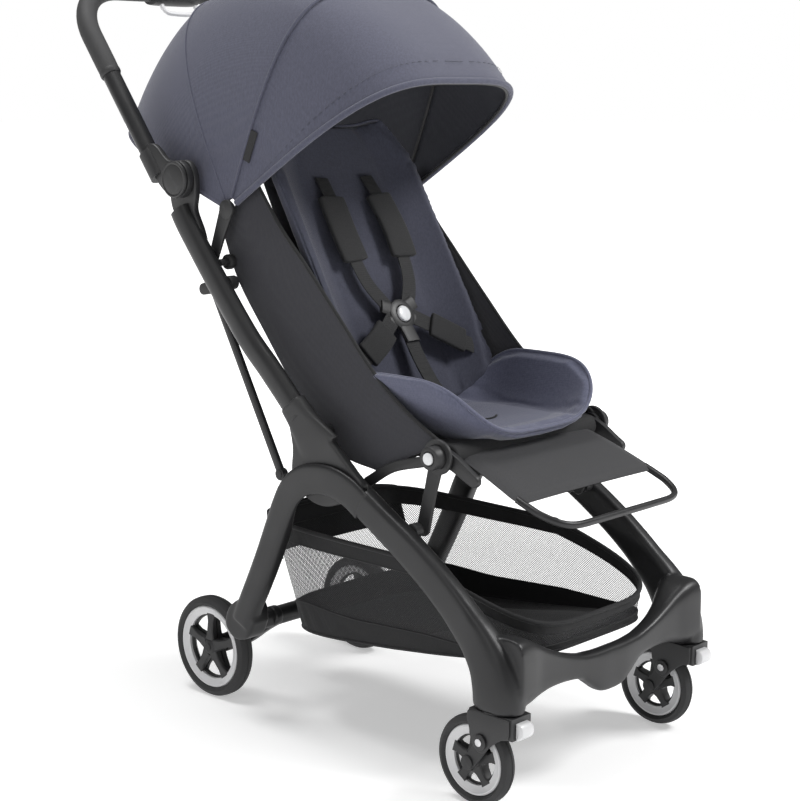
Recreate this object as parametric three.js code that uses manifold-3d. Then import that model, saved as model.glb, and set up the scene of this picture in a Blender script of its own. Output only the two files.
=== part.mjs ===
// A compact folding baby stroller, built as the assembly it is: a front frame on two casters, a rear frame on two
// wheels and an upper frame with the handlebar, all meeting in one scissor pivot on each side, and the seat, leg
// rest, canopy and basket that they carry. Millimetres, +Z up, the front faces -Y, and X = 0 is the mirror plane.
// The outlines are drawn about the middle of the wheelbase. The group is then moved, so that its origin is the
// bottom centre of the whole stroller's box.
import * as THREE from "three";
import { mergeVertices } from "three/addons/utils/BufferGeometryUtils.js";
import Module from "manifold-3d";

const wasm = await Module();
wasm.setup();

// ---------------------------------------------------------------- driving dimensions
const GAP = 0.4; // between pieces that touch
const RUNNING = 0.5; // between a pin and its bore
const SLOT = 1.2; // between faces that pass each other

const WHEELBASE = 562;
const REAR_WHEEL = { radius: 77, width: 28, x: 158, rim: 62.5, spoke: 11 };
const FRONT_WHEEL = { radius: 60, width: 23, x: 201, rim: 47, spoke: 9 };
const RIM_WALL = 4;
const HUB_R = 15;
const AXLE_R = 6;
const SPOKES = 5;

const FRAME_X = 202; // middle of the side frames
const LEG_T = 24; // sideways thickness of a leg
const LEG_D = 38; // depth of a leg
const ARCH_T = 8; // the outer shell of the arch, which passes outside the side moulding
const MOULDING_T = 15;
const TONGUE_T = 11.5;
const TUBE = { across: 22, deep: 37 };
const PIVOT = [-25, 396]; // scissor pivot, as y and z
const PIVOT_R = 8;
const SEAM_R = 65; // the seam between arch and front leg is an arc about the pivot
const MOULDING_R = 118; // how far the side moulding reaches from the pivot

const ELBOW = [284, 785]; // handlebar pivot
const ELBOW_R = 27;
const KNUCKLE_T = 10;
const HANDLE_R = 13.5;
const GRIP_R = 15.5;
const HANDLE_LENGTH = 352; // from the elbow's height to the middle of the cross bar
const HANDLE_TILT = THREE.MathUtils.degToRad(52.7); // above the horizontal
const HANDLE_CORNER = 92;
const HANDLE_BARE = 190; // bare tube below the grip
const HOUSING_HALF = 44;
const LEVER_STROKE = 3;

const POD = { halfX: 24, halfY: 38, bottom: 136, y: -323.5 };
const CASTER_T = 4.5; // a side plate of the caster
const FORK_T = 5;
const FORK_PIVOT = [-306, 95];

const SEAT_PIVOT = [20, 445];
const SEAT_AXIS = [-183, 438]; // leg-rest axis, through the round side bosses
const SEAT_HALF = 150;
const BOSS_R = 16;
const BUTTON_R = 8;
const RAIL = { x: 158, across: 9, deep: 20 };
const RAIL_END = [-238, 412];
const LINK_FOOT = [-158, 338];
const LINK = { x: 168, across: 5, deep: 22 };
const STAY = { across: 5, deep: 12 };
const STRUT = { x: 171, r: 5.5, top: [254, 627], foot: [113, 371] };
const BACK_PIVOT = [18, 462];
const BACK_LENGTH = 420;
const BACK_LEAN = THREE.MathUtils.degToRad(63);
const BACK_HALF = 135;
const REST_LENGTH = 133;
const REST_TILT = THREE.MathUtils.degToRad(-21.6);
const REST_T = 11;
const LOOP_R = 5;
const LOOP_REACH = 58;

const CANOPY = { y: 206, z: 744, half: 181 };
// Each bow stands in a plane through the canopy's pivot, this many degrees above straight ahead.
const BRIM = { angle: 32.4, reach: 338, side: 0.54, crown: 0.52 };
const PIPING = { angle: 67, reach: 330, side: 0.48, crown: 0.52 };
const BAND = { angle: 118, reach: 345, side: 0.62, crown: 0.66 };
const NAPE = { angle: 158, reach: 250, side: 0.5, crown: 0.5 };
const CLOTH_T = 3;
const BOW_R = 3;

const BASKET = { half: 156, wall: 4, front: -316, rear: 142, rearTop: 205, top: 292, low: 130, lowFront: 184 };
const BEAM = { y: 178, z: 138, r: 12 };
const ARM = { x: 132, across: 15 };
const PEDAL_HALF = 30;

const PLASTIC = { color: 0x3a3a3b, roughness: 0.55, metalness: 0 };
const PAINT = { color: 0x383838, roughness: 0.42, metalness: 0.3 };
const RUBBER = { color: 0x2e2e2e, roughness: 0.9, metalness: 0 };
const PALE = { color: 0xc9c9c9, roughness: 0.45, metalness: 0 };
const CLOTH = { color: 0x4a4c5c, roughness: 0.95, metalness: 0 };
const DARK_CLOTH = { color: 0x28282a, roughness: 0.95, metalness: 0 };

// ---------------------------------------------------------------- geometry helpers
const v3 = (x, y, z) => new THREE.Vector3(x, y, z);
const v2 = (y, z) => new THREE.Vector2(y, z);

// A closed three.js geometry as a solid for joining and cutting.
function solid(geometry) {
  const loose = geometry.index ? geometry.toNonIndexed() : geometry;
  const bare = new THREE.BufferGeometry().setAttribute("position", loose.getAttribute("position"));
  const merged = mergeVertices(bare, 1e-4);
  const whole = [];
  for (let i = 0; i < merged.index.count; i += 3) {
    const t = [merged.index.getX(i), merged.index.getX(i + 1), merged.index.getX(i + 2)];
    if (t[0] !== t[1] && t[1] !== t[2] && t[2] !== t[0]) whole.push(...t);
  }
  const mesh = { numProp: 3, vertProperties: merged.attributes.position.array, triVerts: new Uint32Array(whole) };
  return new wasm.Manifold(new wasm.Mesh(mesh));
}

// The solid as a geometry that a mesh can hold.
function geometryOf(body) {
  const mesh = body.getMesh();
  const geometry = new THREE.BufferGeometry();
  geometry.setAttribute("position", new THREE.BufferAttribute(mesh.vertProperties, 3));
  geometry.setIndex(new THREE.BufferAttribute(mesh.triVerts, 1));
  geometry.computeVertexNormals();
  return geometry;
}

const join = (...bodies) => bodies.reduce((a, b) => a.add(b));
const span = (side, inner, outer) => (side < 0 ? [-outer, -inner] : [inner, outer]);

// An outline in the YZ plane, given thickness from one x to another.
function plate(points, [low, high], holes = []) {
  const shape = new THREE.Shape(points.map((p) => v2(...p)));
  holes.forEach(([centre, r]) => shape.holes.push(new THREE.Path().absarc(...centre, r, 0, 2 * Math.PI, true)));
  const geometry = new THREE.ExtrudeGeometry(shape, { depth: high - low, bevelEnabled: false, curveSegments: 10 });
  geometry.applyMatrix4(new THREE.Matrix4().makeBasis(v3(0, 1, 0), v3(0, 0, 1), v3(1, 0, 0)));
  geometry.translate(low, 0, 0);
  return solid(geometry);
}

// A round pin along X.
function pin([y, z], r, [low, high], sides = 16) {
  const geometry = new THREE.CylinderGeometry(r, r, high - low, sides);
  geometry.rotateZ(Math.PI / 2);
  geometry.translate((low + high) / 2, y, z);
  return solid(geometry);
}

// A box between two corners.
function block(low, high) {
  const size = high.map((h, i) => h - low[i]);
  const geometry = new THREE.BoxGeometry(...size);
  geometry.translate(...low.map((l, i) => l + size[i] / 2));
  return solid(geometry);
}

// The outline of a band of changing width along a smooth line in the YZ plane.
function band(line, widths, steps = 16) {
  const curve = new THREE.SplineCurve(line.map((p) => v2(...p)));
  const left = [];
  const right = [];
  for (let i = 0; i <= steps; i++) {
    const t = i / steps;
    const at = curve.getPoint(t);
    const along = curve.getTangent(t);
    const k = t * (widths.length - 1);
    const j = Math.min(Math.floor(k), widths.length - 2);
    const half = THREE.MathUtils.lerp(widths[j], widths[j + 1], k - j) / 2;
    left.push([at.x - along.y * half, at.y + along.x * half]);
    right.push([at.x + along.y * half, at.y - along.x * half]);
  }
  return [...left, ...right.reverse()];
}

// A round or oval bar along a curve: across is its size along X and deep its size square to that.
function bar(curve, across, deep, steps = 12, sides = 12) {
  const section = new THREE.Shape();
  section.absellipse(0, 0, across / 2, deep / 2, 0, 2 * Math.PI, false, 0);
  const geometry = new THREE.ExtrudeGeometry(section, {
    steps,
    curveSegments: sides / 2, // an ellipse is given twice this many points
    bevelEnabled: false,
    extrudePath: curve,
  });
  return solid(geometry);
}

// A ring or disc about an axle: the profile is a list of (radius, distance along X) pairs.
function turned(profile, x, [y, z], segments = 32) {
  const geometry = new THREE.LatheGeometry(profile.map((p) => v2(...p)), segments);
  geometry.rotateZ(-Math.PI / 2);
  geometry.translate(x, y, z);
  const body = solid(geometry);
  return body.volume() < 0 ? solid(geometry.scale(1, 1, -1)) : body;
}

const smooth = (points) => new THREE.CatmullRomCurve3(points.map((p) => v3(...p)), false, "centripetal");
const straight = (a, b) => new THREE.LineCurve3(v3(...a), v3(...b));
const polar = ([y, z], r, degrees) => {
  const a = THREE.MathUtils.degToRad(degrees);
  return [y - r * Math.cos(a), z + r * Math.sin(a)]; // degrees above straight ahead
};

const stroller = new THREE.Group();
function add(name, body, finish) {
  const mesh = new THREE.Mesh(geometryOf(body), new THREE.MeshStandardMaterial(finish));
  mesh.name = name;
  stroller.add(mesh);
}
const sides = [
  ["left", -1],
  ["right", 1],
];

// ---------------------------------------------------------------- side frames
const legIn = FRAME_X - LEG_T / 2;
const legOut = FRAME_X + LEG_T / 2;
const archIn = legOut - ARCH_T;
const mouldOut = archIn - GAP;
const mouldIn = mouldOut - MOULDING_T;
const tongueOut = mouldIn - GAP;
const tongueIn = tongueOut - TONGUE_T;
const stayIn = LINK.x + LINK.across / 2 + SLOT; // the stays pass outside the links
const stayOut = stayIn + STAY.across;
const frontAxle = [-WHEELBASE / 2, FRONT_WHEEL.radius];
const rearAxle = [WHEELBASE / 2, REAR_WHEEL.radius];

// The front leg runs from the seam to the caster pod. A tongue inside it carries it to the pivot.
const LEG_LINE = [[-40, 386], [-79, 366], [-163, 316], [-238, 266], [-272, 232]];
const LEG_FOOT_Y = -262;
const legBand = band(LEG_LINE, [44, 44, 42, 44, 52]);
const tongueLine = [PIVOT, [-50, 381], [-84, 361], [-130, 334]];
for (const [name, side] of sides) {
  const seam = pin(PIVOT, SEAM_R + GAP, [-300, 300], 40);
  const socket = block([-300, LEG_FOOT_Y - 200, 0], [300, LEG_FOOT_Y, 600]);
  const leg = plate(legBand, span(side, legIn, legOut)).subtract(seam).subtract(socket);
  const eye = pin(PIVOT, 17, span(side, tongueIn, tongueOut), 28);
  const blade = plate(band(tongueLine, [30, 26, 26, 22]), span(side, tongueIn, tongueOut));
  const root = plate(band([[-112, 347], [-163, 316]], [20, 20], 2), span(side, tongueIn, legIn + 2));
  const lug = pin(LINK_FOOT, 10, span(side, stayOut + SLOT, legIn + 2), 16);
  const bore = pin(PIVOT, PIVOT_R + RUNNING, [-300, 300], 24);
  add(`front_leg_${name}`, join(leg, eye, blade, root, lug).subtract(bore), PAINT);
}

// The bumper joins the caster pods: a low crowned bar with a deeper belly in its middle.
function bumper() {
  const top = [[-190, 262], [-172, 226], [-140, 194], [-90, 176], [0, 171], [90, 176], [140, 194], [172, 226], [190, 262]];
  const under = [[190, 150], [150, 150], [112, 155], [72, 152], [50, 131], [0, 124], [-50, 131], [-72, 152], [-112, 155], [-150, 150], [-190, 150]];
  const shape = new THREE.Shape([...under, ...top].map((p) => v2(...p)));
  const geometry = new THREE.ExtrudeGeometry(shape, { depth: 21, bevelEnabled: false });
  geometry.rotateX(Math.PI / 2);
  geometry.translate(0, -329, 0);
  const parts = [solid(geometry)];
  for (const side of [-1, 1]) {
    const pod = new THREE.CylinderGeometry(1, 1, 84, 28);
    pod.rotateX(Math.PI / 2);
    pod.scale(POD.halfX, POD.halfY, 1);
    pod.translate(side * FRONT_WHEEL.x, POD.y, POD.bottom + 42);
    const neck = [[LEG_FOOT_Y - GAP, 222], [-280, 190], [-290, 180], [-350, 180], [-336, 196], [-311, 222], [-285, 252], [LEG_FOOT_Y - GAP, 270]];
    parts.push(solid(pod), plate(neck, span(side, legIn - 6, legOut)));
  }
  return join(...parts);
}
add("front_bumper", bumper(), PLASTIC);

// The arch is a thin shell outside the moulding, and the rear leg below it is a full tube.
const ARCH_LINE = [[-110, 348], [-79, 366], [-40, 383], [-2, 388], [34, 378], [64, 348], [85, 308], [124, 226], [163, 150]];
const archBand = band(ARCH_LINE, [42, 42, 43, 43, 43, 42, 40, 37, 36], 22);
for (const [name, side] of sides) {
  const near = pin(PIVOT, SEAM_R - GAP, [-300, 300], 40);
  const ahead = block([-300, -200, 0], [300, PIVOT[0], 600]);
  const shell = plate(archBand, span(side, archIn, legOut));
  const limb = shell.intersect(join(near, block([-300, PIVOT[0] - 1, 0], [300, 400, 600])));
  const full = plate(archBand, span(side, legIn, archIn + 1));
  const leg = full.subtract(pin(PIVOT, MOULDING_R + SLOT, [-300, 300], 40)).subtract(ahead);
  const shaft = pin(PIVOT, PIVOT_R, span(side, tongueIn + 1, archIn + 1), 24);
  add(`rear_leg_${name}`, join(limb, leg, shaft), PAINT);
}

// The side moulding holds the main tube in its collar and turns on the pivot, between arch and tongue.
const seatPinEnd = 180;
const COLLAR_LINE = [[40, 469], [56, 485], [72, 499]];
const mouldOutline = [[70, 476], [80, 440], [74, 402], [58, 372], [32, 352], [2, 346], [-28, 354], [-58, 368], [-79, 388], [-60, 404], [-17, 441], [38, 490]];
for (const [name, side] of sides) {
  const flare = plate(mouldOutline, span(side, mouldIn, mouldOut)).intersect(pin(PIVOT, MOULDING_R, [-300, 300], 48));
  const collar = plate(band(COLLAR_LINE, [41, 41], 4), span(side, legIn + 1, legOut - 1));
  const seatBoss = pin(SEAT_PIVOT, 9, span(side, RAIL.x + RAIL.across / 2 + SLOT, mouldIn + 1), 18);
  const seatBore = pin(SEAT_PIVOT, 5 + RUNNING, span(side, 0, seatPinEnd + GAP), 16);
  const bore = pin(PIVOT, PIVOT_R + RUNNING, [-300, 300], 24);
  add(`side_moulding_${name}`, join(flare, collar, seatBoss).subtract(bore).subtract(seatBore), PLASTIC);
}

// The main tube is oval and gently bowed. Its top ends in a knuckle for the elbow.
const TUBE_LINE = [[72.8, 499.6], [102, 525], [146, 566], [207, 636], [262, 705], [284, 733]];
const knuckleIn = FRAME_X - TUBE.across / 2;
const lugIn = STRUT.x + STRUT.r + GAP;
for (const [name, side] of sides) {
  const tube = bar(smooth(TUBE_LINE.map(([y, z]) => [side * FRAME_X, y, z])), TUBE.across, TUBE.deep, 10, 14);
  const neck = [[262, 690], [306, 742], [308, 770], [296, 811], [268, 808], [258, 780], [262, 740], [240, 704]];
  const knuckle = plate(neck, span(side, knuckleIn, knuckleIn + KNUCKLE_T));
  const disc = pin(ELBOW, ELBOW_R, span(side, knuckleIn, knuckleIn + KNUCKLE_T), 28);
  const bore = pin(ELBOW, 7 + RUNNING, [-300, 300], 16);
  const lug = plate(band([[200, 640], STRUT.top], [18, 15], 3), span(side, lugIn, knuckleIn + 4));
  add(`main_tube_${name}`, join(tube, knuckle, disc, lug).subtract(bore), PAINT);
  const cap = pin(ELBOW, ELBOW_R - 1, span(side, knuckleIn + 2 * KNUCKLE_T + 2.4, legOut + 5), 28);
  const axle = pin(ELBOW, 7, span(side, knuckleIn + 1, legOut + 4), 16);
  add(`elbow_cap_${name}`, join(cap, axle), PLASTIC);
  const strut = bar(straight([side * STRUT.x, ...STRUT.top], [side * STRUT.x, ...STRUT.foot]), 2 * STRUT.r, 2 * STRUT.r, 1, 10);
  const eyes = [STRUT.top, STRUT.foot].map((p) => pin(p, 9, span(side, STRUT.x - STRUT.r, STRUT.x + STRUT.r), 18));
  add(`lock_strut_${name}`, join(strut, ...eyes), PAINT);
}

// ---------------------------------------------------------------- handlebar
const handleFoot = [328, 785];
const handleAt = (x, s) => [x, handleFoot[0] + s * Math.cos(HANDLE_TILT), handleFoot[1] + s * Math.sin(HANDLE_TILT)];
for (const [name, side] of sides) {
  const tube = bar(straight(handleAt(side * FRAME_X, 8), handleAt(side * FRAME_X, HANDLE_BARE)), 2 * HANDLE_R, 2 * HANDLE_R, 1, 16);
  const low = knuckleIn + KNUCKLE_T + SLOT;
  const range = span(side, low, low + KNUCKLE_T);
  const ear = plate([[268, 806], [300, 763], [318, 772], [352, 812], [334, 836], [304, 812]], range);
  const disc = pin(ELBOW, ELBOW_R, range, 28);
  const bore = pin(ELBOW, 7 + RUNNING, [-300, 300], 16);
  add(`handle_tube_${name}`, join(tube, ear, disc).subtract(bore), PAINT);
}

function grip() {
  const path = new THREE.CurvePath();
  const half = FRAME_X;
  const turn = HANDLE_LENGTH - HANDLE_CORNER;
  const start = HANDLE_BARE + GAP;
  const points = [];
  const corner = (side) =>
    [0, 0.25, 0.5, 0.75, 1].map((k) => {
      const a = (k * Math.PI) / 2;
      return handleAt(side * (half - HANDLE_CORNER * (1 - Math.cos(a))), turn + HANDLE_CORNER * Math.sin(a));
    });
  points.push(handleAt(-half, start), handleAt(-half, (start + turn) / 2), ...corner(-1));
  points.push(...corner(1).reverse(), handleAt(half, (start + turn) / 2), handleAt(half, start));
  path.add(smooth(points));
  return bar(path, 2 * GRIP_R, 2 * GRIP_R, 32, 12);
}
const midBar = handleAt(0, HANDLE_LENGTH);
const housing = pin([midBar[1], midBar[2]], GRIP_R + 6, [-HOUSING_HALF, HOUSING_HALF], 24);
const gripCut = pin([midBar[1], midBar[2]], GRIP_R + 6 + GAP, [-HOUSING_HALF - GAP, HOUSING_HALF + GAP], 24);
const wholeGrip = grip().subtract(gripCut);
const gripHalves = wholeGrip.decompose().sort((a, b) => a.boundingBox().min[0] - b.boundingBox().min[0]);
gripHalves.forEach((half, i) => add(`handle_grip_${sides[i][0]}`, half, RUBBER));
add("release_housing", housing, PLASTIC);

// The release lever is a loop under the housing. Squeezing moves it towards the bar.
function lever() {
  const at = (x, s) => handleAt(x, HANDLE_LENGTH - s);
  const top = GRIP_R + 6 + GAP + LEVER_STROKE;
  return bar(smooth([at(-34, top), at(-34, 33), at(-27, 41), at(0, 43), at(27, 41), at(34, 33), at(34, top)]), 7, 7, 16, 8);
}
add("release_lever", lever(), PALE);

// ---------------------------------------------------------------- wheels and casters
function tyre({ radius, width, x, rim }, axle, side) {
  const h = width / 2;
  const profile = [[rim + GAP, -h + 3], [radius - 8, -h], [radius, -6], [radius, 6], [radius - 8, h], [rim + GAP, h - 3]];
  return turned([...profile, profile[0]], side * x, axle, 28);
}
function wheel({ width, x, rim, spoke }, axle, side) {
  const h = width / 2 - 3;
  const ring = [[rim, -h], [rim, h], [rim - RIM_WALL, h], [rim - RIM_WALL, -h]];
  const hub = [[AXLE_R + RUNNING, -h], [HUB_R, -h], [HUB_R, h], [AXLE_R + RUNNING, h]];
  const parts = [turned([...ring, ring[0]], side * x, axle, 28), turned([...hub, hub[0]], side * x, axle, 16)];
  for (let i = 0; i < SPOKES; i++) {
    const a = (2 * Math.PI * (i + 0.25)) / SPOKES;
    const arm = new THREE.BoxGeometry(h, spoke, rim - RIM_WALL + 1 - (HUB_R - 2));
    arm.translate(0, 0, (rim - RIM_WALL + 1 + HUB_R - 2) / 2);
    arm.rotateX(a);
    arm.translate(side * x, ...axle);
    parts.push(solid(arm));
  }
  return join(...parts);
}
for (const [name, side] of sides) {
  add(`rear_tyre_${name}`, tyre(REAR_WHEEL, rearAxle, side), RUBBER);
  add(`rear_wheel_${name}`, wheel(REAR_WHEEL, rearAxle, side), PALE);
  add(`front_tyre_${name}`, tyre(FRONT_WHEEL, frontAxle, side), RUBBER);
  add(`front_wheel_${name}`, wheel(FRONT_WHEEL, frontAxle, side), PALE);
}

// A fork straddles the front wheel and swings on a pin in the caster, on a short spring.
const forkIn = FRONT_WHEEL.width / 2 + 2;
const plateIn = forkIn + FORK_T + GAP;
const crownTop = POD.bottom - 1;
for (const [name, side] of sides) {
  const x = side * FRONT_WHEEL.x;
  const cheek = [[-360, crownTop], [-284, crownTop], [-284, 118], [-292, 88], [-306, 80], [-320, 86], [-350, 104], [-360, 110]];
  const parts = [block([x - plateIn - CASTER_T, -360, 127], [x + plateIn + CASTER_T, -284, crownTop])];
  parts.push(block([x - plateIn - CASTER_T, -360, 108], [x + plateIn + CASTER_T, -346, crownTop]));
  for (const s of [-1, 1]) parts.push(plate(cheek, [x + (s < 0 ? -plateIn - CASTER_T : plateIn), x + (s < 0 ? -plateIn : plateIn + CASTER_T)]));
  const bore = pin(FORK_PIVOT, 5 + RUNNING, [x - 60, x + 60], 18);
  add(`caster_${name}`, join(...parts).subtract(bore), PLASTIC);
  const arms = [];
  for (const s of [-1, 1]) {
    const range = s < 0 ? [x - forkIn - FORK_T, x - forkIn] : [x + forkIn, x + forkIn + FORK_T];
    arms.push(plate(band([FORK_PIVOT, frontAxle], [22, 20], 4), range), pin(FORK_PIVOT, 12, range, 16), pin(frontAxle, 11, range, 16));
    const stub = s < 0 ? [x - plateIn - CASTER_T + 1, x - forkIn - 1] : [x + forkIn + 1, x + plateIn + CASTER_T - 1];
    arms.push(pin(FORK_PIVOT, 5, stub, 12));
  }
  arms.push(pin(frontAxle, AXLE_R, [x - forkIn - 1, x + forkIn + 1], 16));
  add(`fork_${name}`, join(...arms), PLASTIC);
  const lens = [[-360.5, 130], [-373, 127], [-374, 112], [-366, 106], [-360.5, 106]];
  add(`reflector_${name}`, plate(lens, [x - 20, x + 20]), PALE);
}

// The beam between the rear legs has a trailing arm and a stub axle for each rear wheel.
function rearBeam() {
  const parts = [pin([BEAM.y, BEAM.z], BEAM.r, [-legIn + GAP, legIn - GAP], 24)];
  for (const side of [-1, 1]) {
    const low = ARM.x - ARM.across / 2;
    parts.push(plate(band([[BEAM.y, BEAM.z], [222, 108], rearAxle], [26, 30, 28], 8), span(side, low, low + ARM.across)));
    parts.push(pin(rearAxle, 14, span(side, low, low + ARM.across), 16));
    parts.push(pin(rearAxle, AXLE_R, span(side, low, REAR_WHEEL.x + REAR_WHEEL.width / 2 - 2), 16));
  }
  return join(...parts).subtract(pin([BEAM.y, BEAM.z], BEAM.r + 1, [-PEDAL_HALF - 4, PEDAL_HALF + 4], 24)).add(
    pin([BEAM.y, BEAM.z], 7, [-PEDAL_HALF - 6, PEDAL_HALF + 6], 16),
  );
}
add("rear_beam", rearBeam(), PAINT);
const pedalOutline = [[184, 124], [240, 108], [246, 114], [244, 122], [192, 150]];
const pedal = join(plate(pedalOutline, [-PEDAL_HALF, PEDAL_HALF]), pin([BEAM.y, BEAM.z], BEAM.r + 3, [-PEDAL_HALF, PEDAL_HALF], 24));
add("brake_pedal", pedal.subtract(pin([BEAM.y, BEAM.z], 7 + RUNNING, [-100, 100], 16)), PLASTIC);

// ---------------------------------------------------------------- seat, backrest and leg rest
const bossEnd = legIn - 3.4;
const BUTTON_STROKE = 1;
function seatFrame() {
  const railLine = [[20, 440], [-90, 446], SEAT_AXIS, RAIL_END];
  const parts = [pin(SEAT_AXIS, 9, [-180, 180], 16)];
  for (const side of [-1, 1]) {
    parts.push(plate(band(railLine, [16, 18, 24, 16], 14), span(side, RAIL.x - RAIL.across / 2, RAIL.x + RAIL.across / 2)));
    parts.push(pin(SEAT_AXIS, BOSS_R, span(side, RAIL.x + 3, bossEnd), 26));
    parts.push(pin(SEAT_PIVOT, 5, span(side, RAIL.x, seatPinEnd), 16));
  }
  const pan = block([-RAIL.x, -170, 436], [RAIL.x, 4, 442]);
  const bores = [-1, 1].map((side) => pin(SEAT_AXIS, BUTTON_R + RUNNING, span(side, bossEnd - 5, 200), 16));
  return join(...parts, pan).subtract(join(...bores));
}
add("seat_frame", seatFrame(), PLASTIC);
for (const [name, side] of sides) {
  add(`leg_rest_button_${name}`, pin(SEAT_AXIS, BUTTON_R, span(side, bossEnd - 5 + BUTTON_STROKE + GAP, legIn - 0.8), 16), PALE);
  const stayLine = [[-186, 434], [-108, 414], [-62, 386]];
  const hug = pin(SEAT_AXIS, BOSS_R + GAP, [-300, 300], 26);
  const stay = plate(band(stayLine, [STAY.deep, STAY.deep], 8), span(side, stayIn, stayOut)).subtract(hug);
  const pieces = stay.decompose().sort((a, b) => b.volume() - a.volume());
  add(`seat_stay_${name}`, pieces[0], PAINT);
}

function seatCushion() {
  const plan = new THREE.Shape();
  plan.moveTo(-SEAT_HALF, 6);
  plan.lineTo(-SEAT_HALF, -110);
  plan.bezierCurveTo(-SEAT_HALF, -192, SEAT_HALF, -192, SEAT_HALF, -110);
  plan.lineTo(SEAT_HALF, 6);
  const geometry = new THREE.ExtrudeGeometry(plan, { depth: 24, bevelEnabled: false, curveSegments: 14 });
  geometry.translate(0, 0, 442.6);
  return solid(geometry);
}
add("seat_cushion", seatCushion(), CLOTH);

// Board and pad lean on one line, the pad in front of the board.
const lean = (s, out) => [BACK_PIVOT[0] + s * Math.cos(BACK_LEAN) - out * Math.sin(BACK_LEAN), BACK_PIVOT[1] + s * Math.sin(BACK_LEAN) + out * Math.cos(BACK_LEAN)];
const slab = (s0, s1, out0, out1) => [lean(s0, out0), lean(s1, out0), lean(s1, out1), lean(s0, out1)];
add("backrest_board", plate(slab(12, BACK_LENGTH, -4, 4), [-BACK_HALF, BACK_HALF]), PLASTIC);
add("backrest_pad", plate(slab(16, BACK_LENGTH + 6, 4 + GAP, 26), [-BACK_HALF - 6, BACK_HALF + 6]), CLOTH);
// The harness is one soft piece: two shoulder pads and the waist pads that they run down to.
const shoulders = sides.map(([, side]) => plate(slab(110, 330, 26 + GAP, 31.5), span(side, 38, 78)));
const waist = plate(slab(104, 146, 26 + GAP, 31.5), [-124, 124]);
add("harness_straps", join(waist, ...shoulders), DARK_CLOTH);

// The harness buckle hangs in front of the pad, and its round button is pressed inwards.
const BUCKLE = [40, 590];
function faced(r, from, to, sidesOf) {
  const geometry = new THREE.CylinderGeometry(r, r, to - from, sidesOf);
  geometry.translate(0, (from + to) / 2, 0);
  const up = new THREE.Quaternion().setFromUnitVectors(v3(0, 1, 0), v3(0, -0.9, 0.44).normalize());
  geometry.applyQuaternion(up);
  geometry.translate(0, ...BUCKLE);
  return solid(geometry);
}
const buckleBody = join(faced(24, -6, 6, 28), plate([[42, 586], [32, 590], [2, 562], [10, 548]], [-11, 11]));
add("harness_buckle", buckleBody.subtract(faced(12 + RUNNING, 2, 10, 24)), PLASTIC);
add("buckle_button", faced(12, 5, 9, 24), PALE);

// The side panels stretch between the main tubes and the seat.
const WING = [[236, 650], [172, 768], [150, 764], [60, 655], [-50, 535], [-120, 478], [-176, 462], [-150, 450], [-20, 452], [18, 480], [120, 555]];
for (const [name, side] of sides) add(`seat_side_${name}`, plate(WING, span(side, 164.5, 167.5)), CLOTH);

function legRest() {
  const [c, n] = [Math.cos(REST_TILT), Math.sin(REST_TILT)];
  const along = (s, out) => [SEAT_AXIS[0] - s * c + out * n, SEAT_AXIS[1] + s * n + out * c];
  const outline = [along(6, -REST_T / 2), along(REST_LENGTH, -REST_T / 2), along(REST_LENGTH, REST_T / 2), along(6, REST_T / 2)];
  const clear = RAIL.x - RAIL.across / 2 - 1.5;
  const knuckles = [-1, 1].map((side) => pin(SEAT_AXIS, 13, span(side, clear - 22, clear), 22));
  const bore = pin(SEAT_AXIS, 9 + RUNNING, [-200, 200], 16);
  const panel = plate(outline, [-clear, clear]);
  const s0 = REST_LENGTH + GAP + LOOP_R;
  const dip = 0;
  const at = (x, s) => [x, ...along(s, dip)];
  const loop = smooth([at(-140, s0), at(-136, s0 + 26), at(-112, s0 + LOOP_REACH - 8), at(-60, s0 + LOOP_REACH), at(60, s0 + LOOP_REACH), at(112, s0 + LOOP_REACH - 8), at(136, s0 + 26), at(140, s0)]);
  const ends = bar(straight(at(-140, s0), at(140, s0)), 2 * LOOP_R, 2 * LOOP_R, 1, 10);
  return [join(panel, ...knuckles).subtract(bore), join(bar(loop, 2 * LOOP_R, 2 * LOOP_R, 20, 8), ends)];
}
const [restPanel, restLoop] = legRest();
add("leg_rest_panel", restPanel, PLASTIC);
add("leg_rest_loop", restLoop, PLASTIC);

// Two flat links hang on the seat's side bosses. Their feet stand beside the lugs of the front legs.
for (const [name, side] of sides) {
  const range = span(side, LINK.x - LINK.across / 2, LINK.x + LINK.across / 2);
  const flat = plate(band([LINK_FOOT, SEAT_AXIS], [LINK.deep, LINK.deep], 2), range);
  const eyes = join(pin(LINK_FOOT, LINK.deep / 2, range, 16), pin(SEAT_AXIS, BOSS_R + 8, range, 26));
  add(`seat_link_${name}`, join(flat, eyes).subtract(pin(SEAT_AXIS, BOSS_R + RUNNING, [-300, 300], 26)), PLASTIC);
}

// ---------------------------------------------------------------- canopy
// A point of a bow: t runs from 0 at the left pivot to 1 at the right one. The bow is a superellipse.
function bowPoint({ angle, reach, side, crown }, t, inset = 0) {
  const a = Math.PI * t;
  const c = Math.cos(a);
  const x = -(CANOPY.half - inset) * Math.sign(c) * Math.abs(c) ** side;
  const r = (reach - inset) * Math.abs(Math.sin(a)) ** crown;
  return [x, ...polar([CANOPY.y, CANOPY.z], r, angle)];
}
const bowSteps = 20;
const bowParameter = (i) => {
  const u = i / bowSteps;
  return u + Math.sin(4 * Math.PI * u) * -0.045;
};
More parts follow.
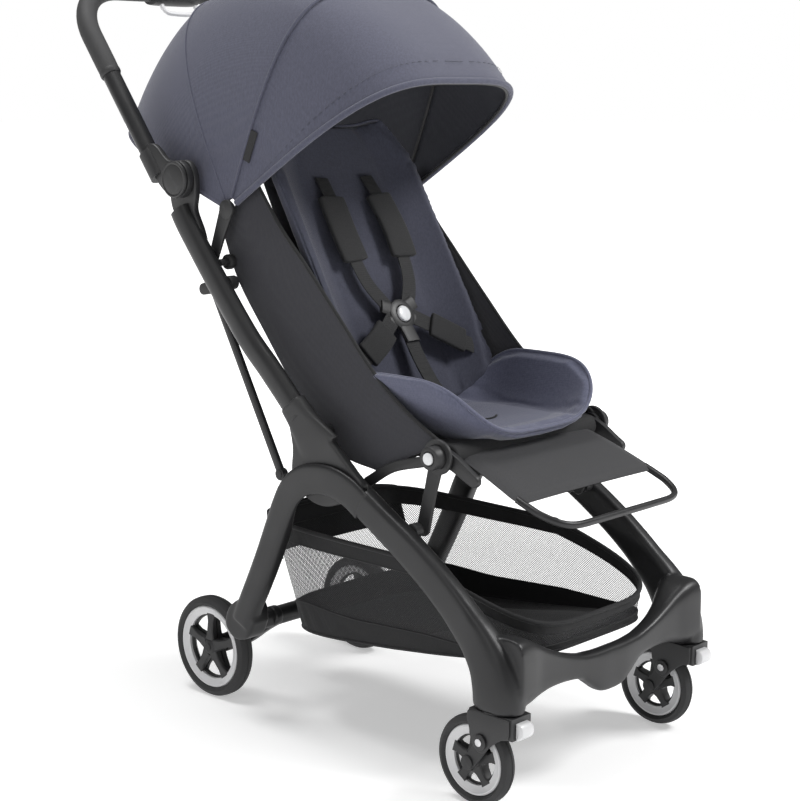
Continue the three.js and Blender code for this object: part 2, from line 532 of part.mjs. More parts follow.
// A sheet between two bows, closed into a shell of the cloth's thickness.
function sheet(from, to, trim, rows = 3) {
  const grid = [];
  for (const inset of [0, CLOTH_T]) {
    const layer = [];
    for (let j = 0; j <= rows; j++) {
      const k = trim + (1 - 2 * trim) * (j / rows);
      const bow = {};
      for (const key of ["angle", "reach", "side", "crown"]) bow[key] = THREE.MathUtils.lerp(from[key], to[key], k);
      const row = [];
      for (let i = 1; i < bowSteps; i++) row.push(bowPoint(bow, bowParameter(i), inset));
      layer.push(row);
    }
    grid.push(layer);
  }
  const positions = [];
  const quad = (a, b, c, d) => positions.push(...a, ...b, ...c, ...a, ...c, ...d);
  const last = bowSteps - 2;
  for (let j = 0; j < rows; j++) {
    for (let i = 0; i < last; i++) {
      const [outer, inner] = grid;
      quad(outer[j][i], outer[j][i + 1], outer[j + 1][i + 1], outer[j + 1][i]);
      quad(inner[j][i], inner[j + 1][i], inner[j + 1][i + 1], inner[j][i + 1]);
    }
    quad(grid[0][j][0], grid[0][j + 1][0], grid[1][j + 1][0], grid[1][j][0]);
    quad(grid[0][j + 1][last], grid[0][j][last], grid[1][j][last], grid[1][j + 1][last]);
  }
  for (let i = 0; i < last; i++) {
    quad(grid[0][0][i + 1], grid[0][0][i], grid[1][0][i], grid[1][0][i + 1]);
    quad(grid[0][rows][i], grid[0][rows][i + 1], grid[1][rows][i + 1], grid[1][rows][i]);
  }
  const geometry = new THREE.BufferGeometry();
  geometry.setAttribute("position", new THREE.BufferAttribute(new Float32Array(positions), 3));
  const body = solid(geometry);
  if (body.volume() > 0) return body;
  const turnedRound = [];
  for (let i = 0; i < positions.length; i += 9) {
    turnedRound.push(...positions.slice(i, i + 3), ...positions.slice(i + 6, i + 9), ...positions.slice(i + 3, i + 6));
  }
  geometry.setAttribute("position", new THREE.BufferAttribute(new Float32Array(turnedRound), 3));
  return solid(geometry);
}
function bowWire(bow, inset) {
  const points = [];
  for (let i = 1; i < bowSteps; i++) points.push(bowPoint(bow, bowParameter(i), inset));
  return bar(smooth(points), 2 * BOW_R, 2 * BOW_R, 24, 6);
}
const underCloth = CLOTH_T + BOW_R + 1;
add("canopy_rear_panel", sheet(NAPE, BAND, 0.01), CLOTH);
add("canopy_middle_panel", sheet(BAND, PIPING, 0.01), CLOTH);
add("canopy_front_panel", sheet(PIPING, BRIM, 0.01, 2), CLOTH);
add("canopy_middle_bow", bowWire(PIPING, underCloth), PAINT);
add("canopy_front_bow", bowWire(BRIM, underCloth), PAINT);
for (const [name, side] of sides) {
  const low = CANOPY.half + 1.5;
  const foot = [236, 674];
  const arm = plate(band([[CANOPY.y, CANOPY.z], foot], [26, 18], 2), span(side, low, low + 5));
  const pad = pin(foot, 8, span(side, low, knuckleIn - GAP), 16);
  add(`canopy_bracket_${name}`, join(arm, pin([CANOPY.y, CANOPY.z], 14, span(side, low, low + 5), 22), pad), PLASTIC);
}

// ---------------------------------------------------------------- basket
// A soft tub, open at the top, that hangs inside the legs.
function basket() {
  const b = BASKET;
  const outline = [[b.front, b.lowFront], [b.rear, b.low], [b.rearTop, b.top], [-150, b.top], [b.front, 225]];
  const tub = plate(outline, [-b.half, b.half]);
  const w = b.wall;
  const inside = [[b.front + w, b.lowFront + w], [b.rear - w, b.low + w], [b.rearTop - w, b.top + 1], [-150, b.top + 1], [-150, b.top - w], [b.front + w, 225 - w], [b.front + w, b.lowFront + w]];
  const open = plate([[b.front + w, b.lowFront + w], [b.rear - w, b.low + w], [b.rearTop - w + 1, b.top + 2], [-148, b.top + 200], [b.front + w, 400]], [-b.half + w, b.half - w]);
  return inside.length ? tub.subtract(open) : tub;
}
add("basket", basket(), DARK_CLOTH);

// ---------------------------------------------------------------- placing
const box = new THREE.Box3().setFromObject(stroller);
stroller.position.set(0, -(box.min.y + box.max.y) / 2, -box.min.z);

export default stroller;
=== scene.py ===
# A compact folding baby stroller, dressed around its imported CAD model. Lengths in the shapes below are millimetres,
# measured from the middle of the wheelbase on the floor; the front faces -Y. They are turned into metres at the end.
import math

import bmesh
import bpy
import numpy as np
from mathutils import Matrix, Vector


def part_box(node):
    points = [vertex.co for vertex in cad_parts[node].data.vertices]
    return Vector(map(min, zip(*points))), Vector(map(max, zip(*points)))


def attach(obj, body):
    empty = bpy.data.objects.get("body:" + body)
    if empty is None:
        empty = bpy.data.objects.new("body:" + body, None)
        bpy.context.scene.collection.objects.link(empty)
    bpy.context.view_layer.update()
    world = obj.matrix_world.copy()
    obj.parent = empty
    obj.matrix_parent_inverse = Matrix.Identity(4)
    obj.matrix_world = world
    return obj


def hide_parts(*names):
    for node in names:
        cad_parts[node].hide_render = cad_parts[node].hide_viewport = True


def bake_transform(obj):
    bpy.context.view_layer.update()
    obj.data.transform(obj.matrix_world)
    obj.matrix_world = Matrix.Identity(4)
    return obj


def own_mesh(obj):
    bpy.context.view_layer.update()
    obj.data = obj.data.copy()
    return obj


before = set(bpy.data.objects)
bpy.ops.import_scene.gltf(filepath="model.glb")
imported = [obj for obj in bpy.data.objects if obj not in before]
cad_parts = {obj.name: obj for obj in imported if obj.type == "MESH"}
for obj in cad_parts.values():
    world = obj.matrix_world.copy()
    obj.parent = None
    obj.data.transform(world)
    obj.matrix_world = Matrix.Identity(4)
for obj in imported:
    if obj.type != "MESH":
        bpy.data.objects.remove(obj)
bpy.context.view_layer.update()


# -------------------------------------------------------------------------------------------------------- camera
# The camera stands off the left front corner with a long lens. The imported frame's origin is the middle of its
# box, so the rear tyre says how far the CAD moved from the middle of the wheelbase.
REAR_AXLE_Y = 281
SHIFT = (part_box("rear_tyre_left")[0][1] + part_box("rear_tyre_left")[1][1]) * 500 - REAR_AXLE_Y

scene = bpy.context.scene
scene.view_settings.view_transform = "Standard"
scene.view_settings.look = "None"


def at(x, y, z):
    """A point in millimetres as a point of the frame in metres."""
    return Vector((x / 1000, (y + SHIFT) / 1000, z / 1000))


def add_camera():
    """A long lens at the height of the handlebar, off the left front corner and looking a little down."""
    data = bpy.data.cameras.new("camera")
    data.sensor_width = 36
    data.lens = 78.66
    data.shift_y = -0.0356
    data.clip_end = 50
    camera = bpy.data.objects.new("camera", data)
    scene.collection.objects.link(camera)
    camera.location = at(-1840.3, -1677.8, 910.9)
    turn, tilt = math.radians(46.94), math.radians(9.13)
    ahead = Vector((math.sin(turn) * math.cos(tilt), math.cos(turn) * math.cos(tilt), -math.sin(tilt)))
    camera.rotation_euler = ahead.to_track_quat("-Z", "Y").to_euler()
    scene.camera = camera


add_camera()


# -------------------------------------------------------------------------------------------------------- studio
# A white room: a soft key from the front right, a broad top light, a weak one from the left, and a white floor
# that glows more with distance, so that it runs into the backdrop with no horizon.

def add_light(name, where, target, size, power):
    """A round area light at one place that faces another; size in metres, power in watts."""
    data = bpy.data.lights.new(name, "AREA")
    data.shape = "DISK"
    data.size = size
    data.energy = power
    light = bpy.data.objects.new(name, data)
    scene.collection.objects.link(light)
    light.location = where
    light.rotation_euler = (Vector(target) - Vector(where)).to_track_quat("-Z", "Y").to_euler()


def nodes_of(name):
    """A new material, its node tree and its surface shader."""
    material = bpy.data.materials.new(name)
    material.use_nodes = True
    tree = material.node_tree
    return material, tree, tree.nodes["Principled BSDF"]


def link(tree, a, b):
    """Joins an output socket to an input socket."""
    tree.links.new(a, b)


def node(tree, kind, **values):
    """A node with its settings and unlinked inputs filled in by name."""
    made = tree.nodes.new(kind)
    for key, value in values.items():
        if key in ("operation", "bands_direction", "data_type"):
            setattr(made, key, value)
        else:
            made.inputs[key.replace("_", " ")].default_value = value
    return made


def floor_material():
    """Matt white, with a glow that grows with distance from the object."""
    material, tree, shade = nodes_of("studio_floor")
    shade.inputs["Base Color"].default_value = (0.86, 0.86, 0.86, 1)
    shade.inputs["Roughness"].default_value = 0.75
    # Away from the object the floor glows more, so that it runs into the white backdrop with no horizon.
    glow = node(tree, "ShaderNodeEmission", Strength=1.0)
    place = tree.nodes.new("ShaderNodeTexCoord")
    far = node(tree, "ShaderNodeVectorMath", operation="LENGTH")
    link(tree, place.outputs["Object"], far.inputs[0])
    fade = node(tree, "ShaderNodeMapRange", From_Min=0.9, From_Max=2.2, To_Min=0.40, To_Max=1.2)
    link(tree, far.outputs["Value"], fade.inputs["Value"])
    link(tree, fade.outputs[0], glow.inputs["Strength"])
    both = tree.nodes.new("ShaderNodeAddShader")
    link(tree, shade.outputs[0], both.inputs[0])
    link(tree, glow.outputs[0], both.inputs[1])
    link(tree, both.outputs[0], tree.nodes["Material Output"].inputs["Surface"])
    return material


def add_studio():
    """A white backdrop that is brighter to the lens than to the scene, three lights and a white floor."""
    world = bpy.data.worlds.new("studio")
    scene.world = world
    world.use_nodes = True
    tree = world.node_tree
    sky = tree.nodes["Background"]
    sky.inputs["Color"].default_value = (1, 1, 1, 1)
    sky.inputs["Strength"].default_value = 0.20
    white = tree.nodes.new("ShaderNodeBackground")
    white.inputs["Strength"].default_value = 1.25
    path = tree.nodes.new("ShaderNodeLightPath")
    mix = tree.nodes.new("ShaderNodeMixShader")
    tree.links.new(path.outputs["Is Camera Ray"], mix.inputs[0])
    tree.links.new(sky.outputs[0], mix.inputs[1])
    tree.links.new(white.outputs[0], mix.inputs[2])
    tree.links.new(mix.outputs[0], tree.nodes["World Output"].inputs["Surface"])
    add_light("key", (1.5, -2.3, 3.0), (0, 0, 0.6), 1.4, 104)
    add_light("top", (-0.4, 0.6, 3.4), (0, 0, 0.5), 1.8, 72)
    add_light("side", (-2.6, -0.6, 1.6), (0, 0, 0.5), 1.4, 9)
    floor = bpy.data.meshes.new("floor")
    floor.from_pydata([(-80, -80, 0), (80, -80, 0), (80, 80, 0), (-80, 80, 0)], [], [(0, 1, 2, 3)])
    ground = bpy.data.objects.new("floor", floor)
    scene.collection.objects.link(ground)
    floor.materials.append(floor_material())


add_studio()


# -------------------------------------------------------------------------------------------- wheels and casters
# Each wheel is a moulded five-spoke hub with a pale rim under a solid rubber tyre. The front ones run in a short
# sprung fork that turns with a plastic caster hood; a pale reflector clips on its nose. A pin of bright steel joins
# hood and fork.

def moulded(name, color, roughness=0.5, grain=900, bump=0.12, metal=0.0, edge_paling=0.12, coat=0.0):
    """Moulded plastic or powder-coated metal: a fine grain, a little unevenness of gloss and paler sharp edges."""
    material, tree, shade = nodes_of(name)
    place = tree.nodes.new("ShaderNodeTexCoord")
    fine = node(tree, "ShaderNodeTexNoise", Scale=grain, Detail=3.0)
    broad = node(tree, "ShaderNodeTexNoise", Scale=14.0, Detail=4.0)
    link(tree, place.outputs["Object"], fine.inputs["Vector"])
    link(tree, place.outputs["Object"], broad.inputs["Vector"])
    gloss = node(
        tree, "ShaderNodeMapRange", From_Min=0.3, From_Max=0.7, To_Min=roughness - 0.06, To_Max=roughness + 0.07
    )
    link(tree, broad.outputs[0], gloss.inputs["Value"])
    link(tree, gloss.outputs[0], shade.inputs["Roughness"])
    height = node(tree, "ShaderNodeBump", Strength=bump, Distance=0.0004)
    link(tree, fine.outputs[0], height.inputs["Height"])
    link(tree, height.outputs[0], shade.inputs["Normal"])
    shape = tree.nodes.new("ShaderNodeNewGeometry")
    # Sharp convex edges are mixed towards a paler colour.
    edge = node(tree, "ShaderNodeMapRange", From_Min=0.52, From_Max=0.62, To_Min=0.0, To_Max=edge_paling)
    link(tree, shape.outputs["Pointiness"], edge.inputs["Value"])
    mix = node(tree, "ShaderNodeMix", data_type="RGBA")
    mix.inputs["A"].default_value = (*color, 1)
    mix.inputs["B"].default_value = (*[min(1.0, c * 2.2 + 0.05) for c in color], 1)
    link(tree, edge.outputs[0], mix.inputs["Factor"])
    link(tree, mix.outputs["Result"], shade.inputs["Base Color"])
    shade.inputs["Metallic"].default_value = metal
    shade.inputs["Coat Weight"].default_value = coat
    return material


def ring(a, b, power=2.0, n=24):
    """A superellipse: 2 is an ellipse, 4 a rounded rectangle."""
    t = np.linspace(0, 2 * math.pi, n, endpoint=False)
    c, s = np.cos(t), np.sin(t)
    return np.column_stack(
        [np.sign(c) * np.abs(c) ** (2 / power) * a / 2, np.sign(s) * np.abs(s) ** (2 / power) * b / 2]
    )


def grid_faces(rows, columns, rows_join=False, columns_join=False):
    """The quads of a grid of points numbered row by row: each joins a point to its neighbour, the next row's
    neighbour and the next row's point. Either way round the grid may join up with itself."""
    j = np.arange(rows if rows_join else rows - 1)[:, None]
    i = np.arange(columns if columns_join else columns - 1)[None, :]
    here, below = j * columns, (j + 1) % rows * columns
    after = (i + 1) % columns
    quads = np.stack(np.broadcast_arrays(here + i, here + after, below + after, below + i), axis=-1)
    return [tuple(q) for q in quads.reshape(-1, 4).tolist()]


def skin(rings, caps=True, closed=False):
    """Vertices and faces of a surface through equal rings of points."""
    k, n = len(rings), len(rings[0])
    verts = np.array(rings, float).reshape(-1, 3).tolist()
    faces = grid_faces(k, n, closed, True)
    if caps and not closed:
        faces += [tuple(range(n - 1, -1, -1)), tuple(range((k - 1) * n, k * n))]
    return verts, faces


def turned(profile, centre, axis=(1, 0, 0), n=56, closed=True):
    """A ring or disc: (radius, distance along the axis) pairs turned about an axis through centre."""
    ax = Vector(axis).normalized()
    a = ax.orthogonal().normalized()
    b = ax.cross(a)
    rings = []
    for i in range(n):
        t = 2 * math.pi * i / n
        d = a * math.cos(t) + b * math.sin(t)
        rings.append([Vector(centre) + d * r + ax * h for r, h in profile])
    k = len(profile)
    verts = [tuple(v) for r in rings for v in r]
    faces = grid_faces(n, k, True, closed)
    return verts, faces


def disc(centre, r, low, high, soft=1.5, axis=(1, 0, 0), n=48, dome=0.0):
    """A round button or cap with softened rims, from low to high along the axis."""
    rim = [(0.01, low), (r - soft, low), (r - soft * 0.3, low + soft * 0.3), (r, low + soft)]
    rim += [(r, high - soft), (r - soft * 0.3, high - soft * 0.3), (r - soft, high), (0.01, high + dome)]
    return turned(rim, centre, axis, n, closed=False)


def together(*parts):
    """Several lists of vertices and faces as one, each one's faces counted on from the last."""
    verts, faces = [], []
    for v, f in parts:
        base = len(verts)
        verts += [tuple(p) for p in v]
        faces += [tuple(i + base for i in face) for face in f]
    return verts, faces


def bake(obj):
    """The piece's modifiers applied."""
    bpy.context.view_layer.update()
    seen = obj.evaluated_get(bpy.context.evaluated_depsgraph_get())
    mesh = bpy.data.meshes.new_from_object(seen)
    old = obj.data
    obj.modifiers.clear()
    obj.data = mesh
    mesh.name = obj.name
    bpy.data.meshes.remove(old)


def shade(obj, angle=38):
    """Smooth shading that breaks at edges sharper than the angle in degrees."""
    obj.data.shade_smooth()
    obj.data.set_sharp_from_angle(angle=math.radians(angle))


def piece(
    name, part, material, body, cad=(), angle=38, levels=0, fuse=0.0, iron=6, thick=0.0,
    inner=None,
):
    """One named piece in metres that rides on a body. fuse melts its overlapping parts into one moulding."""
    verts, faces = part
    mesh = bpy.data.meshes.new(name)
    mesh.from_pydata([at(*v) for v in verts], [], faces)
    obj = bpy.data.objects.new(name, mesh)
    scene.collection.objects.link(obj)
    mesh.materials.append(material)
    work = bmesh.new()
    work.from_mesh(mesh)
    bmesh.ops.remove_doubles(work, verts=work.verts, dist=2e-6)
    bmesh.ops.recalc_face_normals(work, faces=work.faces)
    work.to_mesh(mesh)
    work.free()
    if thick:
        sheet = obj.modifiers.new("thickness", "SOLIDIFY")
        sheet.thickness = thick / 1000
        sheet.offset = 0
        if inner:
            mesh.materials.append(inner)
            sheet.material_offset = 1
    if fuse:
        melt = obj.modifiers.new("fuse", "REMESH")
        melt.mode = "VOXEL"
        melt.voxel_size = fuse / 1000
        melt.use_smooth_shade = True
        soft = obj.modifiers.new("iron", "SMOOTH")
        soft.factor = 0.6
        soft.iterations = iron
    if levels:
        sub = obj.modifiers.new("subdivision", "SUBSURF")
        sub.levels = sub.render_levels = levels
    if obj.modifiers:
        bake(obj)
    if not obj.data.materials:
        obj.data.materials.append(material)
    shade(obj, 60 if fuse else angle)
    if body:
        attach(obj, body)
    if cad:
        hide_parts(*cad)
    return obj


PLASTIC = moulded("dark_plastic", (0.017, 0.017, 0.018), 0.50, 800, 0.16)
SOFT_BLACK = moulded("soft_black", (0.022, 0.022, 0.023), 0.62, 700, 0.2)
PALE = moulded("pale_plastic", (0.66, 0.66, 0.67), 0.38, 1100, 0.05, coat=0.15)
RUBBER = moulded("tyre_rubber", (0.030, 0.030, 0.031), 0.78, 500, 0.3)
STEEL = moulded("bright_steel", (0.55, 0.55, 0.56), 0.28, 600, 0.03, 1.0)


def wheel(name, x, axle, radius, width, rim, body, cad, dish):
    """Tyre and rim are closed profiles turned about the axle; the five spokes are lofted from hub to rim."""
    y, z = axle
    h = width / 2
    crown = 5.5
    tyre = [
        (rim + 0.6, -h + 4), (rim + 3, -h + 1.2), (radius - crown - 3, -h), (radius - 2.6, -h + 3.2),
        (radius - 0.5, -h + 7),
    ]
    tyre += [(radius, -1.6), (radius - 0.9, -1.0), (radius - 0.9, 1.0), (radius, 1.6)]
    tyre += [
        (radius - 0.5, h - 7), (radius - 2.6, h - 3.2), (radius - crown - 3, h), (rim + 3, h - 1.2),
        (rim + 0.6, h - 4),
    ]
    piece(f"{name}_tyre", turned(tyre, (x, y, z), n=96), RUBBER, body, (cad[0],), 30)
    ring_profile = []
    lip = rim - 13
    for s in (-1, 1):
        half = [
            (rim, s * (h - 4.4)), (rim - 1.2, s * (h - 3.2)), (rim - 3.2, s * (h - 3.0)),
            (rim - 5, s * (h - 4.2)), (lip, s * (h - dish)),
        ]
        ring_profile += half if s < 0 else half[::-1]
    piece(f"{name}_rim", turned(ring_profile, (x, y, z), n=96), PALE, body, (cad[1],), 30)
    parts = []
    for i in range(5):
        a = 2 * math.pi * (i + 0.25) / 5
        for s in (-1, 1):
            out = s * (h - dish + 1.2)
            inward = s * (h - dish - 5)
            made = []
            for r, w, lift in (
                (11, 9.0, 3.2), (rim * 0.38, 6.6, 2.2), (rim * 0.62, 6.0, 0.9), (lip + 2, 9.5, -0.4)
            ):
                edge = out + s * lift
                row = [
                    (inward, -w), (edge - s * 1.5, -w), (edge, -w + 1.6), (edge, w - 1.6), (edge - s * 1.5, w),
                    (inward, w),
                ]
                made.append(
                    [
                        (x + p, y + r * math.cos(a) - q * math.sin(a), z + r * math.sin(a) + q * math.cos(a))
                        for p, q in row
                    ]
                )
            parts.append(skin(made))
    web = h - dish - 4
    parts.append(turned([(lip + 3, -web), (lip + 3, web), (lip - 3, web), (lip - 3, -web)], (x, y, z), n=64))
    hub = h - dish + 6.5
    parts.append(
        turned(
            [
                (0.01, -hub), (7, -hub), (11, -hub + 2), (15.5, -hub + 6), (15.5, hub - 6), (11, hub - 2),
                (7, hub), (0.01, hub),
            ],
            (x, y, z),
            closed=False,
        )
    )
    piece(f"{name}_spokes", together(*parts), PLASTIC, body, (), 32)
    for s in (-1, 1):
        piece(
            f"{name}_hub_cap_{'in' if s < 0 else 'out'}",
            disc((x, y, z), 6.2, s * hub if s > 0 else -hub - 1.4, s * hub + 1.4 if s > 0 else -hub, 0.6),
            SOFT_BLACK,
            body,
        )


def spline(points, per=10):
    """A smooth line through the points, as (n, dims) numbers."""
    p = np.array(points, float)
    p = np.vstack([2 * p[0] - p[1], p, 2 * p[-1] - p[-2]])
    out = []
    for i in range(1, len(p) - 2):
        for t in np.linspace(0, 1, per, endpoint=False):
            a, b, c, d = p[i - 1 : i + 3]
            out.append(
                0.5 * (
                    2 * b + (c - a) * t + (2 * a - 5 * b + 4 * c - d) * t**2 + (3 * b - a - 3 * c + d) * t**3
                )
            )
    out.append(p[-2])
    return np.array(out)


def slab(outline, low, high, soft=0.0, steps=3):
    """A YZ outline given thickness along X, with its rims rounded inwards."""
    points = np.array(outline, float)
    area = np.sum(points[:, 0] * np.roll(points[:, 1], -1) - np.roll(points[:, 0], -1) * points[:, 1])
    if area < 0:
        points = points[::-1]
    step = np.roll(points, -1, 0) - points
    normal = np.column_stack([step[:, 1], -step[:, 0]])
    normal /= np.linalg.norm(normal, axis=1)[:, None] + 1e-9
    mitre = normal + np.roll(normal, 1, 0)
    mitre /= np.maximum(np.sum(mitre * normal, axis=1), 0.35)[:, None]
    # Each rim is a quarter circle: full inset at the face, none where the wall begins.
    turns = np.linspace(0, math.pi / 2, steps + 1)
    levels = [(low + soft * (1 - math.cos(a)), soft * (1 - math.sin(a))) for a in turns]
    levels = levels + [(high - (x - low), inset) for x, inset in levels[::-1]]
    made = [[(x, *(p - m * inset)) for p, m in zip(points, mitre)] for x, inset in levels]
    return skin(made)


def band(line, widths, per=8, round_ends=False):
    """The outline of a strip of changing width along a smooth line in the YZ plane."""
    path = spline(line, per)
    t = np.gradient(path, axis=0)
    t /= np.linalg.norm(t, axis=1)[:, None]
    half = np.interp(np.linspace(0, 1, len(path)), np.linspace(0, 1, len(widths)), widths)[:, None] / 2
    n = np.column_stack([-t[:, 1], t[:, 0]])
    left, right = path + n * half, path - n * half
    if not round_ends:
        return np.vstack([left, right[::-1]])
    caps = []
    for p, d, h, m in ((path[-1], t[-1], half[-1], n[-1]), (path[0], -t[0], half[0], -n[0])):
        caps.append([p + (m * math.cos(a) + d * math.sin(a)) * h for a in np.linspace(0.2, math.pi - 0.2, 9)])
    return np.vstack([left, caps[0], right[::-1], caps[1]])


SIDES = (("left", -1), ("right", 1))
REAR_WHEEL_X, REAR_RADIUS = 158, 77
FRONT_WHEEL_X, FRONT_RADIUS = 201, 60
FORK_PIN = (-306, 95)


def casters():
    """Each rear wheel, then each front wheel with the caster, the fork and the bosses that hold it."""
    for name, side in SIDES:
        x = side * FRONT_WHEEL_X
        wheel(
            f"rear_{name}", side * REAR_WHEEL_X, (REAR_AXLE_Y, REAR_RADIUS), REAR_RADIUS, 28, 62.5,
            f"rear_wheel_{name}", (f"rear_tyre_{name}", f"rear_wheel_{name}"), 7.5,
        )
        wheel(
            f"front_{name}",
            x,
            (-REAR_AXLE_Y, FRONT_RADIUS),
            FRONT_RADIUS,
            23,
            47,
            f"front_wheel_{name}",
            (f"front_tyre_{name}", f"front_wheel_{name}"),
            6.5,
        )
        # Caster: a hood over the fork with two cheeks that narrow to the suspension pin.
        cheek = spline(
            [
                (-352, 133), (-330, 134.6), (-290, 134.6), (-283, 126), (-286, 112), (-291, 92), (-301, 81),
                (-312, 81.5), (-322, 92), (-338, 104), (-351, 110), (-352, 133),
            ],
            6,
        )[:-1]
        hood = []
        for s in (-1, 1):
            low, high = (x - 22.8, x - 18.9) if s < 0 else (x + 18.9, x + 22.8)
            hood.append(slab(cheek, low, high, 1.4))
        top = [(-355, 134.8), (-284, 134.8), (-282, 128), (-300, 124), (-338, 122), (-342, 106), (-355, 106)]
        hood.append(slab(top, x - 19.5, x + 19.5, 1.6))
        hood.append(disc((x, -323.5, 0), 21, 132, 137.4, 1.0, (0, 0, 1)))
        piece(f"caster_body_{name}", together(*hood), PLASTIC, f"caster_{name}", (f"caster_{name}",), angle=35)
        lens = spline(
            [(-355, 128), (-362, 127), (-366, 121), (-365.5, 112), (-360, 107), (-355, 107.5), (-355, 128)], 5
        )[:-1]
        piece(
            f"caster_reflector_{name}", slab(lens, x - 12, x + 12, 2.2), PALE, f"caster_{name}",
            (f"reflector_{name}",), 40,
        )
        arms = []
        for s in (-1, 1):
            low, high = (x - 18.3, x - 14.0) if s < 0 else (x + 14.0, x + 18.3)
            arms.append(
                slab(
                    band([FORK_PIN, (-295, 76), (-REAR_AXLE_Y, FRONT_RADIUS)], [24, 19, 21], 8, True),
                    low,
                    high,
                    1.3,
                )
            )
            face = high if s > 0 else low
            arms.append(
                disc(
                    (0, -REAR_AXLE_Y, FRONT_RADIUS), 9.5, face - 0.5 if s > 0 else face - 2.6,
                    face + 2.6 if s > 0 else face + 0.5, 0.9,
                )
            )
        arms.append(disc((0, -REAR_AXLE_Y, FRONT_RADIUS), 5.8, x - 15, x + 15, 0.4))
        piece(f"fork_arms_{name}", together(*arms), PLASTIC, f"fork_{name}", (f"fork_{name}",), angle=35)
        bosses, screws = [], []
        for s in (-1, 1):
            face = x + s * 22.6
            low, high = (face, face + 3.4) if s > 0 else (face - 3.4, face)
            bosses.append(disc((0, *FORK_PIN), 10.5, low, high, 1.2))
            screws.append(
                disc((0, *FORK_PIN), 5.2, high if s > 0 else low - 1.2, high + 1.2 if s > 0 else low, 0.5)
            )
        piece(f"caster_bosses_{name}", together(*bosses), PLASTIC, f"caster_{name}", (), angle=35)
        piece(f"caster_screws_{name}", together(*screws), STEEL, f"caster_{name}", ())


casters()


# --------------------------------------------------------------------------------------------------- front frame
# Two painted legs run from the scissor pivots to the caster pods, and the bumper joins them. All of it looks like
# one aluminium casting, so its parts are melted together.
PAINT = moulded("frame_paint", (0.019, 0.019, 0.020), 0.40, 1400, 0.10, 0.25)


def sweep(path, sections, aside=(1, 0, 0), caps=True, closed=False):
    """Sections along a path. The first axis of each section stays as near as it can to aside."""
    path = np.array(path, float)
    count = len(path)
    if not isinstance(sections, list):
        sections = [sections] * count
    if closed:
        tangents = np.roll(path, -1, 0) - np.roll(path, 1, 0)
    else:
        tangents = np.gradient(path, axis=0)
    u = np.array(aside, float)
    rings = []
    for p, t, section in zip(path, tangents, sections):
        t = t / np.linalg.norm(t)
        side = u - t * np.dot(u, t)
        side /= np.linalg.norm(side)
        if tuple(aside) != (1, 0, 0):
            u = side
        up = np.cross(t, side)
        section = np.asarray(section)
        rings.append(p + section[:, :1] * side + section[:, 1:] * up)
    return skin(rings, caps, closed)


def mirrored(part):
    """The part on the other side of X = 0: each X changes sign and each face runs the other way round."""
    verts, faces = part
    return [(-x, y, z) for x, y, z in verts], [tuple(reversed(f)) for f in faces]


def sided(part, side):
    """A part made for the right side, or its mirror image where side is -1."""
    return mirrored(part) if side < 0 else part


def front_frame():
    """Both front legs, the caster pods and the bumper are one moulding that flows from the seam to the middle."""
    stations = [
        (-79, 368, 43, 24, 4.2), (-120, 343, 44, 24, 4.2), (-163, 317, 46, 24, 4.2), (-205, 288, 47, 24.5, 4.2),
        (-238, 262, 48, 26, 4), (-262, 240, 51, 28, 3.6),
    ]
    stations += [
        (-286, 217, 57, 33, 3.2), (-305, 192, 65, 40, 2.8), (-315, 166, 72, 45, 2.5),
        (-318, 144, 74, 46.5, 2.4), (-318, 136, 73, 45, 2.4),
    ]
    dense = spline(stations, 8)
    parts = []
    for side in (-1, 1):
        path = [(202 - 1 * k / len(dense), y, z) for k, (y, z, *_) in enumerate(dense)]
        sections = [ring(across, deep, power, 32) for _, _, deep, across, power in dense]
        parts.append(sided(sweep(path, sections), side))
    # The bumper is lofted across the stroller: at each x its bottom, top, front and back.
    rows = [
        (0, 118, 178, -352, -328), (25, 121, 178, -352, -328), (48, 136, 179, -351, -327),
        (66, 147, 181, -350, -326), (98, 151, 190, -349, -323),
    ]
    rows += [
        (128, 150, 203, -349, -316), (152, 145, 216, -350, -306), (172, 140, 226, -353, -298),
        (188, 138, 230, -355, -294), (201, 138, 230, -356, -292),
    ]
    right = np.array(rows, float)
    left = right[::-1].copy()
    left[:, 0] *= -1
    path = spline(np.vstack([left[:-1], right]), 6)
    rings = []
    for x, low, high, front, back in path:
        rings.append(
            [
                (x, (front + back) / 2 + a, (low + high) / 2 + b)
                for a, b in ring(back - front, high - low, 4.2, 36)
            ]
        )
    parts.append(skin(rings))
    piece(
        "front_frame_moulding",
        together(*parts),
        PAINT,
        "front_frame",
        ("front_leg_left", "front_leg_right", "front_bumper"),
        fuse=2.2,
        iron=8,
    )
    hidden = []
    for _, side in SIDES:
        blade = band([(-25, 396), (-50, 381), (-84, 361), (-130, 334)], [32, 28, 26, 22], 8, True)
        hidden.append(sided(slab(blade, 178.9, 190.2, 1.2), side))
        hidden.append(sided(disc((0, -158, 338), 10, 178.2, 192, 1.2), side))
    piece("leg_tongues", together(*hidden), PLASTIC, "front_frame", (), angle=35)
    for name, side in SIDES:
        collar = disc((side * FRONT_WHEEL_X, -319, 0), 23, 134.9, 136.6, 0.8, (0, 0, 1))
        piece(f"pod_ring_{name}", collar, SOFT_BLACK, "front_frame")


front_frame()


# ---------------------------------------------------------------------------------------------------- rear frame
# The arches curve over the front legs' upper ends and down to the cross beam, which carries a trailing arm to each
# rear wheel. The brake pedal is moulded plastic, ribbed for the shoe, and turns on the beam.
BEAM_LINE = (178, 138)


